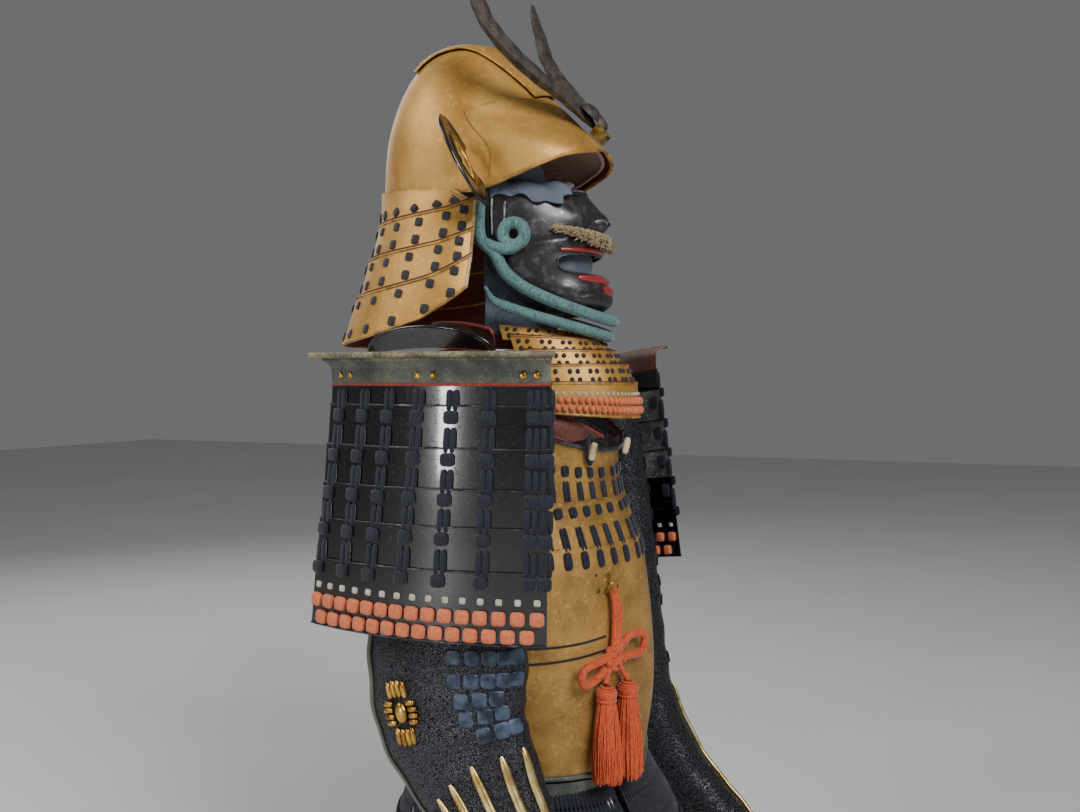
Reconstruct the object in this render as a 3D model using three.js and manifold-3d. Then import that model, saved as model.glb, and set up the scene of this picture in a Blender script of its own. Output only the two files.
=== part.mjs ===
// A samurai armour in its worn form: gold helmet, face mask, throat guard, cuirass, shoulder guards,
// sleeves and tassets. Millimetres, +Z up, the wearer faces -Y and the wearer's right hand is on -X.
// The origin is where the shoulder straps rest on the wearer.
import * as THREE from "three";
import { mergeVertices } from "three/addons/utils/BufferGeometryUtils.js";
import Module from "manifold-3d";

const wasm = await Module();
wasm.setup();

const { PI, abs, cos, max, min, pow, sign, sin, sqrt } = Math;
const RIGHT = -1;
const LEFT = 1;
const SIDES = [
  { name: "right", side: RIGHT },
  { name: "left", side: LEFT },
];

// ---- driving sizes

const IRON = 1.6; // wall of a lacquered plate
const CLOTH = 2; // wall of a sleeve or a lining
const LEATHER = 2.6; // wall of a strap or a collar
const GAP = 0.5; // air between two plates that lie on each other
const STEP = 2.6; // how far a lame's top edge stands out past the lame above it
const LAP = 6; // how far a lame's top edge climbs over the lame above it

// ---- small tools

const radians = THREE.MathUtils.degToRad;
const lerp = THREE.MathUtils.lerp;
const v3 = (x, y, z) => new THREE.Vector3(x, y, z);

// A smooth curve through one column of a table, looked up by another column that only rises.
function track(rows, key, column) {
  const slope = (i) => {
    const a = rows[max(i - 1, 0)];
    const b = rows[min(i + 1, rows.length - 1)];
    return (b[column] - a[column]) / (b[key] - a[key]);
  };
  return (at) => {
    let i = 0;
    while (i < rows.length - 2 && at > rows[i + 1][key]) i++;
    const a = rows[i];
    const b = rows[i + 1];
    const span = b[key] - a[key];
    const t = THREE.MathUtils.clamp((at - a[key]) / span, 0, 1);
    const rise = b[column] - a[column];
    const m0 = slope(i) * span;
    const m1 = slope(i + 1) * span;
    return a[column] + t * (m0 + t * (3 * rise - 2 * m0 - m1 + t * (m0 + m1 - 2 * rise)));
  };
}

function tracks(rows, key, columns) {
  const curves = columns.map((column) => [column, track(rows, key, column)]);
  return (at) => Object.fromEntries(curves.map(([column, curve]) => [column, curve(at)]));
}

const power = (value, exponent) => sign(value) * pow(abs(value), exponent);

function normalAt(surface, u, v, wrap) {
  const e = 2e-3;
  const u0 = wrap ? u - e : max(u - e, 0);
  const u1 = wrap ? u + e : min(u + e, 1);
  const v0 = max(v - e, 0);
  const v1 = min(v + e, 1);
  const along = surface(u1, v).sub(surface(u0, v));
  return along.cross(surface(u, v1).sub(surface(u, v0))).normalize();
}

// The same surface moved out by a distance along its normal.
const lifted = (surface, lift) => (u, v) =>
  surface(u, v).addScaledVector(normalAt(surface, u, v, false), lift);

// A wall on a surface: surface(u, v) is its outer face, and it is `thick` deep. `wrap` closes it round
// in u, and `open(i, j)` names the cells of its grid that are left out.
function shell({ surface, cols, rows, thick, wrap = false, open = () => false }) {
  const across = wrap ? cols : cols + 1;
  const layer = across * (rows + 1);
  const points = [];
  for (const depth of [0, thick])
    for (let j = 0; j <= rows; j++)
      for (let i = 0; i < across; i++) {
        const u = i / cols;
        const v = j / rows;
        const inward = normalAt(surface, u, v, wrap).multiplyScalar(-depth);
        points.push(...surface(u, v).add(inward).toArray());
      }
  const outer = (i, j) => j * across + (i % across);
  const inner = (i, j) => layer + outer(i, j);
  const kept = (i, j) => {
    if (j < 0 || j >= rows) return false;
    if (!wrap && (i < 0 || i >= cols)) return false;
    return !open((i + cols) % cols, j);
  };
  const index = [];
  const quad = (a, b, c, d) => index.push(a, b, c, a, c, d);
  for (let j = 0; j < rows; j++)
    for (let i = 0; i < cols; i++) {
      if (!kept(i, j)) continue;
      quad(outer(i, j), outer(i + 1, j), outer(i + 1, j + 1), outer(i, j + 1));
      quad(inner(i + 1, j + 1), inner(i + 1, j), inner(i, j), inner(i, j + 1));
      if (!kept(i, j - 1)) quad(outer(i + 1, j), outer(i, j), inner(i, j), inner(i + 1, j));
      if (!kept(i, j + 1)) quad(outer(i, j + 1), outer(i + 1, j + 1), inner(i + 1, j + 1), inner(i, j + 1));
      if (!kept(i - 1, j)) quad(outer(i, j), outer(i, j + 1), inner(i, j + 1), inner(i, j));
      if (!kept(i + 1, j)) quad(outer(i + 1, j + 1), outer(i + 1, j), inner(i + 1, j), inner(i + 1, j + 1));
    }
  return bareGeometry(points, index);
}

function bareGeometry(points, index) {
  const geometry = new THREE.BufferGeometry();
  geometry.setAttribute("position", new THREE.Float32BufferAttribute(points, 3));
  geometry.setIndex(index);
  return geometry;
}

// A round cord along points, with flat ends.
function cord(points, diameter, steps, sides = 8) {
  const section = new THREE.Shape();
  section.absarc(0, 0, diameter / 2, 0, 2 * PI);
  const path = new THREE.CatmullRomCurve3(points, false, "centripetal");
  return new THREE.ExtrudeGeometry(section, { steps, curveSegments: sides / 2, extrudePath: path });
}

function solidOf(geometry) {
  const bare = geometry.clone();
  bare.deleteAttribute("normal");
  bare.deleteAttribute("uv");
  const merged = mergeVertices(bare, 1e-3);
  return new wasm.Manifold(
    new wasm.Mesh({
      numProp: 3,
      vertProperties: merged.attributes.position.array,
      triVerts: new Uint32Array(merged.index.array),
    }),
  );
}

// Several closed bodies that meet, as one.
function joined(...geometries) {
  const mesh = geometries.map(solidOf).reduce((a, b) => a.add(b)).getMesh();
  return bareGeometry(mesh.vertProperties, Array.from(mesh.triVerts));
}

// The same body on the other side of the wearer.
function mirrored(geometry) {
  const copy = geometry.index ? geometry.toNonIndexed() : geometry.clone();
  const position = copy.attributes.position;
  const points = [];
  for (let i = 0; i < position.count; i += 3)
    for (const k of [i, i + 2, i + 1]) points.push(-position.getX(k), position.getY(k), position.getZ(k));
  const out = new THREE.BufferGeometry();
  out.setAttribute("position", new THREE.Float32BufferAttribute(points, 3));
  return out;
}

const onSide = (geometry, side) => (side === LEFT ? geometry : mirrored(geometry));

// ---- materials

const finish = (color, roughness, metalness = 0) =>
  new THREE.MeshStandardMaterial({ color, roughness, metalness });
const goldLacquer = finish(0xb8904a, 0.45, 0.6);
const wornGold = finish(0xae8c50, 0.5, 0.55);
const blackLacquer = finish(0x191b20, 0.22);
const darkIron = finish(0x3c3a3e, 0.35, 0.7);
const hornBrown = finish(0x5a4a3e, 0.6);
const paleLining = finish(0xb79a88, 0.9);
const slateCloth = finish(0x5f7391, 0.9);
const hair = finish(0x786441, 0.8);
const tealCord = finish(0x557370, 0.85);
const brownLeather = finish(0x5c4034, 0.7);
const greyLeather = finish(0x555f5f, 0.75);
const orangeSilk = finish(0xd2502a, 0.7);
const brass = finish(0xc89a4a, 0.35, 0.9);
const mail = finish(0x17181b, 0.6, 0.4);
const navyLace = finish(0x14182d, 0.85);
const orangeBeads = finish(0xdc7d5f, 0.6);

// ---- the helmet bowl, as rings that reach forward, back and sideways from the head's own axis

const BOWL = [
  { z: 196, front: 126, back: 166, half: 104, brow: 2.6, flare: 9 },
  { z: 250, front: 130, back: 164, half: 104, brow: 2.6, flare: 9 },
  { z: 290, front: 95, back: 158, half: 99, brow: 1.7, flare: 0 },
  { z: 339, front: 47, back: 140, half: 84, brow: 1.6, flare: 0 },
  { z: 375, front: 11, back: 115, half: 64, brow: 1.6, flare: 0 },
  { z: 392, front: -8, back: 88, half: 42, brow: 1.6, flare: 0 },
  { z: 398, front: -32, back: 56, half: 14, brow: 1.6, flare: 0 },
];
const bowlRow = tracks(BOWL, "z", ["front", "back", "half", "brow", "flare"]);
const CROWN = 398;
const NAPE_ROUNDNESS = 2.1; // the brow's roundness is in the table: blunt at the brim, a soft point above

// The bowl's lower edge: high over the brow and low at the ears. Turn is the angle from the front.
const BRIM = [
  { turn: 0, z: 262 },
  { turn: 16, z: 253 },
  { turn: 46, z: 241 },
  { turn: 62, z: 229 },
  { turn: 80, z: 210 },
  { turn: 90, z: 201 },
  { turn: 135, z: 206 },
  { turn: 180, z: 214 },
];
const brimHeight = track(BRIM, "turn", "z");

const turnOf = (degrees) => (degrees > 180 ? 360 - degrees : abs(degrees));

function bowlPoint(degrees, z, grow = 0) {
  const { front, back, half, brow, flare } = bowlRow(z);
  const a = radians(degrees);
  const roundness = cos(a) > 0 ? brow : NAPE_ROUNDNESS;
  const middle = (back - front) / 2;
  const reach = (back + front) / 2 + grow;
  const flared = flare * max(0, 2 * cos(a)) * sin(a);
  const x = (half + grow) * power(sin(a), 2 / roundness) + flared;
  return v3(x, middle - reach * power(cos(a), 2 / roundness), z);
}

// Height above the brim as a share, with the rings drawn closer together towards the flat crown.
const climb = (share) => sin((share * PI) / 2);

const bowlSurface = (from, to, low, high) => (u, v) => {
  const degrees = lerp(from, to, u);
  const brim = brimHeight(turnOf(degrees));
  const z = lerp(brim, CROWN, climb(lerp(low, high, v)));
  return bowlPoint(degrees, z);
};

const BOWL_GRID = { cols: 30, rows: 9, top: 0.985 };
const BROW_GRID = { cols: 14, rows: 3 }; // its columns and rows follow the bowl's

function helmetBowl() {
  const { cols, rows, top } = BOWL_GRID;
  return shell({ surface: bowlSurface(-180, 180, 0, top), cols, rows, thick: IRON, wrap: true });
}

// The brow plate laps over the front of the bowl and runs out as its peak.
function browPlate() {
  const { cols, rows } = BROW_GRID;
  const turn = (180 / BOWL_GRID.cols) * cols;
  const high = (BOWL_GRID.top * rows) / BOWL_GRID.rows;
  const surface = lifted(bowlSurface(-turn, turn, 0, high), IRON + GAP);
  return shell({ surface, cols, rows, thick: IRON });
}

// The top plate runs over the crown from the brow plate to the nape.
const TOP_PLATE = { halfAngle: 22, from: 40, to: 128, eye: v3(0, 30, 262), lift: 2 * (IRON + GAP) + 1 };

// The bowl's skin seen from a point inside it, along a direction.
function bowlAlong(eye, direction) {
  let near = 20;
  let far = 400;
  for (let i = 0; i < 40; i++) {
    const middle = (near + far) / 2;
    const p = eye.clone().addScaledVector(direction, middle);
    const { front, back, half, brow } = bowlRow(min(p.z, CROWN));
    const centre = (back - front) / 2;
    const reach = (back + front) / 2;
    const roundness = p.y < centre ? brow : NAPE_ROUNDNESS;
    const size = pow(abs(p.x) / half, roundness) + pow(abs(p.y - centre) / reach, roundness);
    if (p.z > CROWN || size > 1) far = middle;
    else near = middle;
  }
  return eye.clone().addScaledVector(direction, near);
}

function topPlate() {
  const { halfAngle, from, to, eye, lift } = TOP_PLATE;
  const surface = (u, v) => {
    const across = radians(lerp(-halfAngle, halfAngle, u));
    const pitch = radians(lerp(from, to, v));
    const direction = v3(sin(across), -cos(across) * cos(pitch), cos(across) * sin(pitch));
    return bowlAlong(eye, direction).addScaledVector(direction, lift);
  };
  return shell({ surface, cols: 6, rows: 12, thick: IRON });
}

// ---- the neck guard: lines from the bowl's rim (0) to the bottom edge (4)

const NECK = [
  { line: 1, half: 119, centre: 40, back: 169, fore: 66, nape: 162, cheek: 186 },
  { line: 2, half: 130, centre: 46, back: 182, fore: 80, nape: 118, cheek: 148 },
  { line: 3, half: 141, centre: 52, back: 198, fore: 94, nape: 70, cheek: 116 },
  { line: 4, half: 152, centre: 60, back: 219, fore: 108, nape: 18, cheek: 85 },
];
const NECK_ENDS = { bowl: 97, ring: 62 };

function neckLine(line, u, grow = 0, raise = 0) {
  if (line === 0) {
    const degrees = lerp(NECK_ENDS.bowl, 360 - NECK_ENDS.bowl, u);
    const z = brimHeight(turnOf(degrees)) + raise;
    const ring = bowlPoint(degrees, max(z, BOWL[0].z), grow + STEP + IRON);
    return ring.setZ(z);
  }
  const { half, centre, back, fore, nape, cheek } = NECK[line - 1];
  const a = radians(lerp(NECK_ENDS.ring, 360 - NECK_ENDS.ring, u));
  const reach = cos(a) > 0 ? fore : back - centre;
  const z = lerp(nape, cheek, pow(abs(2 * u - 1), 3)) + raise;
  return v3((half + grow) * sin(a), centre - (reach + grow) * cos(a), z);
}

function neckLame(number) {
  const surface = (u, v) => {
    const bottom = neckLine(number, u);
    const top = neckLine(number - 1, u, number > 1 ? STEP : 0, number > 1 ? LAP : 4);
    return bottom.lerp(top, v);
  };
  return shell({ surface, cols: 22, rows: 1, thick: IRON });
}

// ---- the turn-backs: oval plates that stand out from the front ends of the top lame

const TURN_BACK = { wide: 72, tall: 118, inner: 110, y: 11, z: 231, lean: 27, cut: 3 };
const TURN_BACK_SLOT = { wide: 26, tall: 60 };

function turnBack() {
  const { wide, tall, inner, y, z, lean, cut } = TURN_BACK;
  const outline = new THREE.Shape();
  const middle = wide / 2 - cut;
  const start = Math.acos(-middle / (wide / 2));
  const ring = 28;
  for (let i = 0; i <= ring; i++) {
    const a = lerp(-start, start, i / ring);
    outline.lineTo(middle + (wide / 2) * cos(a), (tall / 2) * sin(a));
  }
  const slot = new THREE.Path();
  slot.absellipse(middle + 2, 0, TURN_BACK_SLOT.wide / 2, TURN_BACK_SLOT.tall / 2, 0, 2 * PI);
  outline.holes.push(slot);
  const plate = new THREE.ExtrudeGeometry(outline, { depth: IRON, bevelEnabled: false, curveSegments: 8 });
  plate.rotateX(radians(90 - lean));
  plate.translate(inner, y, z);
  return plate;
}

// ---- the crest and its holder on the brow

// One horn from the middle of the crest to its tip: `out` is sideways from the middle.
const HORN = [
  { share: 0, out: 0, y: -101, z: 305, wide: 40, thick: 10 },
  { share: 0.22, out: 48, y: -82, z: 328, wide: 32, thick: 14 },
  { share: 0.38, out: 83, y: -62, z: 347, wide: 28, thick: 17 },
  { share: 0.53, out: 110, y: -36, z: 375, wide: 28, thick: 18 },
  { share: 0.67, out: 127, y: -17, z: 403, wide: 34, thick: 17 },
  { share: 0.8, out: 137, y: -7, z: 431, wide: 40, thick: 15 },
  { share: 0.91, out: 146, y: 2, z: 458, wide: 38, thick: 11 },
  { share: 1, out: 153, y: 9, z: 484, wide: 8, thick: 5 },
];
const hornRow = tracks(HORN, "share", ["out", "y", "z", "wide", "thick"]);
const CREST_ROLL = 6; // degrees that it leans to the right
const SLOPE = 45; // the brow and the crest's tang lean back by this much
const BROW = v3(0, -134, 250); // where that slope starts
const TANG = { wide: 16, long: 34, thick: 2.4, room: 0.6 };
const HOLDER = { wide: 24, deep: 16, tall: 18, along: 32.5, off: 12.5, socket: 3.5 };

// A point up the brow's slope and off it.
function onBrow(along, off) {
  const up = v3(0, sin(radians(SLOPE)), cos(radians(SLOPE)));
  const out = v3(0, -up.z, up.y);
  return BROW.clone().addScaledVector(up, along).addScaledVector(out, off);
}

function placedOnBrow(geometry, along, off) {
  const seat = onBrow(along, off);
  geometry.rotateX(radians(-SLOPE));
  geometry.translate(seat.x, seat.y, seat.z);
  return geometry;
}

function horns() {
  const middleLine = (share) => {
    const { out, y, z } = hornRow(abs(share));
    return v3(sign(share) * out, y, z);
  };
  const step = 0.02;
  const surface = (u, v) => {
    const share = lerp(-1, 1, u);
    const along = middleLine(min(share + step, 1)).sub(middleLine(max(share - step, -1))).normalize();
    const higher = hornRow(min(abs(share) + step, 1));
    const lower = hornRow(max(abs(share) - step, 0));
    const face = v3(0, lower.z - higher.z - step, higher.y - lower.y + step).normalize();
    const up = face.clone().cross(along).normalize();
    const { wide, thick } = hornRow(abs(share));
    const a = 2 * PI * v;
    const edge = up.multiplyScalar((wide / 2) * cos(a));
    return middleLine(share).add(edge).addScaledVector(face, (thick / 2) * sin(a));
  };
  return closedTube(surface, 30, 8);
}

function crest() {
  const tang = new THREE.BoxGeometry(TANG.wide, TANG.thick, TANG.long);
  tang.translate(0, 0, TANG.long / 2 - HOLDER.tall / 2 + 1);
  placedOnBrow(tang, HOLDER.along, HOLDER.off + HOLDER.socket);
  const seat = v3(0, HORN[0].y, HORN[0].z);
  const body = horns();
  body.translate(-seat.x, -seat.y, -seat.z);
  body.rotateY(radians(-CREST_ROLL));
  body.translate(seat.x, seat.y, seat.z);
  return joined(body, tang);
}

function crestHolder() {
  const { wide, deep, tall, along, off, socket } = HOLDER;
  const rectangle = (path, halfWide, halfDeep, middle) => {
    path.moveTo(-halfWide, middle - halfDeep);
    path.lineTo(halfWide, middle - halfDeep);
    path.lineTo(halfWide, middle + halfDeep);
    path.lineTo(-halfWide, middle + halfDeep);
    path.closePath();
    return path;
  };
  const outline = rectangle(new THREE.Shape(), wide / 2, deep / 2, 0);
  const across = TANG.wide / 2 + TANG.room;
  const through = TANG.thick / 2 + TANG.room;
  outline.holes.push(rectangle(new THREE.Path(), across, through, -socket));
  const box = new THREE.ExtrudeGeometry(outline, { depth: tall, bevelEnabled: false });
  box.translate(0, 0, -tall / 2);
  return placedOnBrow(box, along, off);
}

// ---- the cloths inside the helmet and behind the mask

function helmetLining() {
  const inset = IRON + 5;
  const surface = (u, v) => {
    const degrees = lerp(-180, 180, u);
    const brim = brimHeight(turnOf(degrees)) + 5;
    const z = lerp(brim, CROWN - 14, climb(v * 0.8));
    return bowlPoint(degrees, z, -inset);
  };
  return shell({ surface, cols: 20, rows: 5, thick: CLOTH, wrap: true });
}

// The cloth that shows through the eye gap, the mouth and under the chin.
const HOOD = [
  { z: 30, front: 62, half: 66 },
  { z: 60, front: 72, half: 68 },
  { z: 75, front: 92, half: 66 },
  { z: 100, front: 104, half: 73 },
  { z: 117, front: 107, half: 75 },
  { z: 134, front: 103, half: 74 },
  { z: 170, front: 84, half: 70 },
  { z: 212, front: 80, half: 73 },
  { z: 238, front: 80, half: 73 },
];
const hoodRow = tracks(HOOD, "z", ["front", "half"]);
const HOOD_GRID = { cols: 16, rows: 10, halfTurn: 33, from: 8 }; // nothing covers the eyes

function headCloth() {
  const surface = (u, v) => {
    const z = lerp(HOOD[0].z, HOOD[HOOD.length - 1].z, v);
    const { front, half } = hoodRow(z);
    const a = radians(lerp(-88, 88, u));
    return v3(half * sin(a), 14 - (front + 14) * cos(a), z);
  };
  const { cols, rows, halfTurn, from } = HOOD_GRID;
  const open = (i, j) => j >= from && abs(((i + 0.5) / cols - 0.5) * 176) < halfTurn;
  return shell({ surface, cols, rows, thick: CLOTH, open });
}

// ---- the mask

// Front is how far the middle of the face reaches, half its breadth at the ears, and ear where it ends.
const FACE = [
  { z: 57, front: 116, half: 54, ear: -46 },
  { z: 66, front: 131, half: 63, ear: -32 },
  { z: 78, front: 134, half: 70, ear: -16 },
  { z: 90, front: 127, half: 76, ear: -3 },
  { z: 102, front: 122, half: 80, ear: 7 },
  { z: 116, front: 122, half: 82, ear: 13 },
  { z: 130, front: 118, half: 84, ear: 14 },
  { z: 144, front: 120, half: 85, ear: 14 },
  { z: 160, front: 116, half: 86, ear: 14 },
  { z: 176, front: 112, half: 86, ear: 14 },
  { z: 190, front: 104, half: 86, ear: 12 },
  { z: 199, front: 98, half: 86, ear: 10 },
];
const faceRow = tracks(FACE, "z", ["front", "half", "ear"]);
const MASK_ROWS = FACE.map((row) => row.z);
const NOSE = { z: 176, reach: 17, wide: 15, tall: 17 };
const NOSE_WING = { x: 15, z: 168, reach: 8, wide: 8, tall: 8 };
const CHEEK = { x: 48, z: 172, reach: 9, wide: 18, tall: 20 };
const MOUTH = { rows: [4, 6], halfTurn: 48 };

const bump = (x, z, { reach, wide, tall }, x0, z0) =>
  reach * Math.exp(-(((x - x0) / wide) ** 2) - ((z - z0) / tall) ** 2);

function facePoint(degrees, z) {
  const { front, half, ear } = faceRow(z);
  const a = radians(degrees);
  const x = half * power(sin(a), 0.9);
  const swell =
    bump(x, z, NOSE, 0, NOSE.z) +
    bump(abs(x), z, NOSE_WING, NOSE_WING.x, NOSE_WING.z) +
    bump(abs(x), z, CHEEK, CHEEK.x, CHEEK.z);
  return v3(x, ear - (front + ear + swell) * power(cos(a), 0.9), z);
}

function mask() {
  const rows = MASK_ROWS.length - 1;
  const cols = 24;
  const ears = 86;
  const surface = (u, v) => {
    const j = min(Math.floor(v * rows), rows - 1);
    const z = lerp(MASK_ROWS[j], MASK_ROWS[j + 1], v * rows - j);
    const bridge = v > 0.9 ? 10 * Math.exp(-((u - 0.5) ** 2) / 0.004) * (v - 0.9) * 10 : 0;
    const p = facePoint(lerp(-ears, ears, u), z);
    return p.setZ(z + bridge);
  };
  const open = (i, j) => {
    const turn = abs(((i + 0.5) / cols - 0.5) * 2 * ears);
    return j >= MOUTH.rows[0] && j < MOUTH.rows[1] && turn < MOUTH.halfTurn;
  };
  return shell({ surface, cols, rows, thick: IRON, open });
}

// The moustache is a closed body of the hair's reach.
const MOUSTACHE = { z: 147, lift: 13, deep: 6, tall: 9.5, ends: 50 };

function moustache() {
  const { z, lift, deep, tall, ends } = MOUSTACHE;
  const surface = (u, v) => {
    const turn = lerp(-ends, ends, u);
    const share = abs(turn) / ends;
    const level = z + lift * share * share;
    const base = facePoint(turn, level);
    const out = base.clone().setZ(0).normalize();
    const size = 1 - 0.75 * pow(share, 3);
    const a = v * 2 * PI;
    const centre = base.addScaledVector(out, deep * size + 1.2);
    return centre.addScaledVector(out, deep * size * cos(a)).setZ(level + tall * size * sin(a));
  };
  return closedTube(surface, 14, 8);
}

// A body round a line: surface(u, v) runs along it in u and once round it in v, with flat ends.
function closedTube(surface, steps, sides) {
  const points = [];
  const index = [];
  for (let i = 0; i <= steps; i++)
    for (let k = 0; k < sides; k++) points.push(...surface(i / steps, k / sides).toArray());
  const at = (i, k) => i * sides + (k % sides);
  for (let i = 0; i < steps; i++)
    for (let k = 0; k < sides; k++) {
      index.push(at(i, k), at(i + 1, k), at(i + 1, k + 1));
      index.push(at(i, k), at(i + 1, k + 1), at(i, k + 1));
    }
  for (let k = 1; k < sides - 1; k++) {
    index.push(at(0, 0), at(0, k), at(0, k + 1));
    index.push(at(steps, 0), at(steps, k + 1), at(steps, k));
  }
  return outward(bareGeometry(points, index));
}

// The same closed body with its faces turned out.
function outward(geometry) {
  const p = geometry.attributes.position;
  const index = Array.from(geometry.index.array);
  const corner = (k) => v3(p.getX(index[k]), p.getY(index[k]), p.getZ(index[k]));
  let volume = 0;
  for (let k = 0; k < index.length; k += 3) volume += corner(k).dot(corner(k + 1).cross(corner(k + 2)));
  if (volume < 0) index.reverse();
  geometry.setIndex(index);
  return geometry;
}

// ---- the throat guard: lines from under the chin (0) to the bottom of the beaded row (5)

const THROAT = [
  { line: 0, half: 84, front: 100, ends: 14, middle: 34, side: 44 },
  { line: 1, half: 85, front: 116, ends: 12, middle: 19, side: 26 },
  { line: 2, half: 87, front: 133, ends: 8, middle: 5, side: 6 },
  { line: 3, half: 90, front: 150, ends: 4, middle: -12, side: -14 },
  { line: 4, half: 94, front: 162, ends: 0, middle: -34, side: -34 },
  { line: 5, half: 97, front: 168, ends: -4, middle: -72, side: -60 },
];
const THROAT_LAMES = THROAT.length - 1;
const THROAT_ENDS = [76, 72, 68, 64, 60];

function throatLame(number) {
  const line = (n, u, grow, raise) => {
    const { half, front, ends, middle, side } = THROAT[n];
    const turn = THROAT_ENDS[number - 1];
    const a = radians(lerp(-turn, turn, u));
    const z = lerp(middle, side, 1 - cos(a)) + raise;
    return v3((half + grow) * sin(a), ends - (front + ends + grow) * power(cos(a), 0.95), z);
  };
  const first = number === 1;
  const surface = (u, v) =>
    line(number, u, 0, 0).lerp(line(number - 1, u, first ? 0 : STEP, first ? 0 : LAP - 2), v);
  return shell({ surface, cols: 14, rows: 1, thick: IRON });
}

// ---- the cord under the chin: points on the wearer's left, from the ear to the chin

const CHIN_CORD = 14.5;
const CHEEK_RING = { radius: 14, y: -35, z: 149, x: 95 };
const UPPER_RUN = [
  { out: 96.5, y: 8, z: 190 },
  { out: 98.5, y: 6, z: 146 },
  { out: 97.5, y: -12, z: 126 },
  { out: 93.5, y: -23, z: 105 },
  { out: 87, y: -43, z: 87 },
  { out: 75, y: -74, z: 71 },
  { out: 51, y: -106, z: 58 },
  { out: 25, y: -128, z: 50 },
];
const LOWER_RUN = [
  { out: 87, y: 4, z: 87 },
  { out: 90, y: -10, z: 69 },
  { out: 85, y: -39, z: 57 },
  { out: 71, y: -75, z: 46 },
  { out: 49, y: -105, z: 37 },
  { out: 25, y: -123, z: 31 },
];

function roundTheChin(run, middle) {
  const left = run.map(({ out, y, z }) => v3(out, y, z));
  const right = run.map(({ out, y, z }) => v3(-out, y, z)).reverse();
  return [...left, middle, ...right];
}

function chinCordUpper() {
  const run = cord(roundTheChin(UPPER_RUN, v3(0, -135, 48)), CHIN_CORD, 44);
  const ring = new THREE.TorusGeometry(CHEEK_RING.radius, CHIN_CORD / 2, 8, 16);
  ring.rotateY(PI / 2);
  ring.translate(CHEEK_RING.x, CHEEK_RING.y, CHEEK_RING.z);
  const link = cord(
    [v3(98.5, 2, 140), v3(99.5, -14, 134), v3(97.5, -32, 132)],
    CHIN_CORD * 0.9,
    4,
  );
  return joined(run, ring, mirrored(ring), link, mirrored(link));
}

const chinCordLower = () => cord(roundTheChin(LOWER_RUN, v3(0, -130, 28)), CHIN_CORD * 0.9, 36);

// ---- the body: sections of the cuirass and of the skirt under it

const TORSO = [
  { depth: 0, half: 128, front: 92, back: 140 },
  { depth: 60, half: 136, front: 96, back: 148 },
  { depth: 120, half: 144, front: 101, back: 151 },
  { depth: 180, half: 149, front: 110, back: 152 },
  { depth: 230, half: 151, front: 131, back: 150 },
  { depth: 308, half: 152, front: 146, back: 148 },
  { depth: 407, half: 150, front: 153, back: 144 },
  { depth: 498, half: 144, front: 142, back: 138 },
];
const torsoRow = tracks(TORSO, "depth", ["half", "front", "back"]);
const TORSO_ROUNDNESS = 2.15;
const RIDGE = { reach: 5, turn: 14 };

// A point of the body at an angle from the front and a depth below the origin, moved out.
function torsoPoint(degrees, depth, out = 0) {
  const { half, front, back } = torsoRow(depth);
  const a = radians(degrees);
  const p = 2 / TORSO_ROUNDNESS;
  const ridge = RIDGE.reach * max(0, 1 - turnOf(degrees) / RIDGE.turn);
  const reach = cos(a) > 0 ? front + ridge : back;
  return v3((half + out) * power(sin(a), p), -(reach + out) * power(cos(a), p), -depth);
}

const BREAST_LINE = 182; // where the breast band ends
const BELLY_LINE = 234; // where the plain belly plate begins
const WAIST = 495;
const NECKLINE = { middle: 119, side: 98 };
const FRONT_TURN = { breast: 52, lame: 78, belly: 89 };

function bodyBand({ turn, top, bottom, stepped = true, cols = 20, rows = 2, rim = 0 }) {
  const surface = (u, v) => {
    const degrees = lerp(turn[0], turn[1], u);
    const climbTo = top(degrees) - (stepped ? LAP : 0);
    const depth = lerp(bottom(degrees), climbTo, v);
    const out = (stepped ? STEP * v : 0) + rim * pow(v, 8);
    return torsoPoint(degrees, depth, out);
  };
  return shell({ surface, cols, rows, thick: IRON });
}

const breastBand = () =>
  bodyBand({
    turn: [-FRONT_TURN.breast, FRONT_TURN.breast],
    top: (degrees) => lerp(NECKLINE.middle, NECKLINE.side, (degrees / FRONT_TURN.breast) ** 2),
    bottom: () => BREAST_LINE,
    stepped: false,
    rows: 4,
    rim: 7,
  });

const chestLame = () =>
  bodyBand({
    turn: [-FRONT_TURN.lame, FRONT_TURN.lame],
    top: () => BREAST_LINE,
    bottom: () => BELLY_LINE,
  });

const bellyPlate = () =>
  bodyBand({
    turn: [-FRONT_TURN.belly, FRONT_TURN.belly],
    top: () => BELLY_LINE,
    bottom: () => WAIST,
    cols: 22,
    rows: 6,
  });

const BACK_TOP = { middle: 24, side: 110 };

// The three laced lames of the upper back, one behind the other as steps in one wall.
function backUpper() {
  const steps = [BELLY_LINE, 182, 130];
  const half = 60;
  const surface = (u, v) => {
    const degrees = lerp(180 - half, 180 + half, u);
    const share = abs(degrees - 180) / half;
    const top = lerp(BACK_TOP.middle, BACK_TOP.side, share ** 3);
    const depth = lerp(BELLY_LINE, top, v);
    const passed = steps.filter((line) => depth < line).length;
    return torsoPoint(degrees, depth, 0.8 * passed);
  };
  return shell({ surface, cols: 18, rows: 8, thick: IRON });
}

const backPlate = () =>
  bodyBand({ turn: [91, 269], top: () => BELLY_LINE, bottom: () => WAIST, cols: 22, rows: 5 });

// ---- what rests on the shoulders

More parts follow.
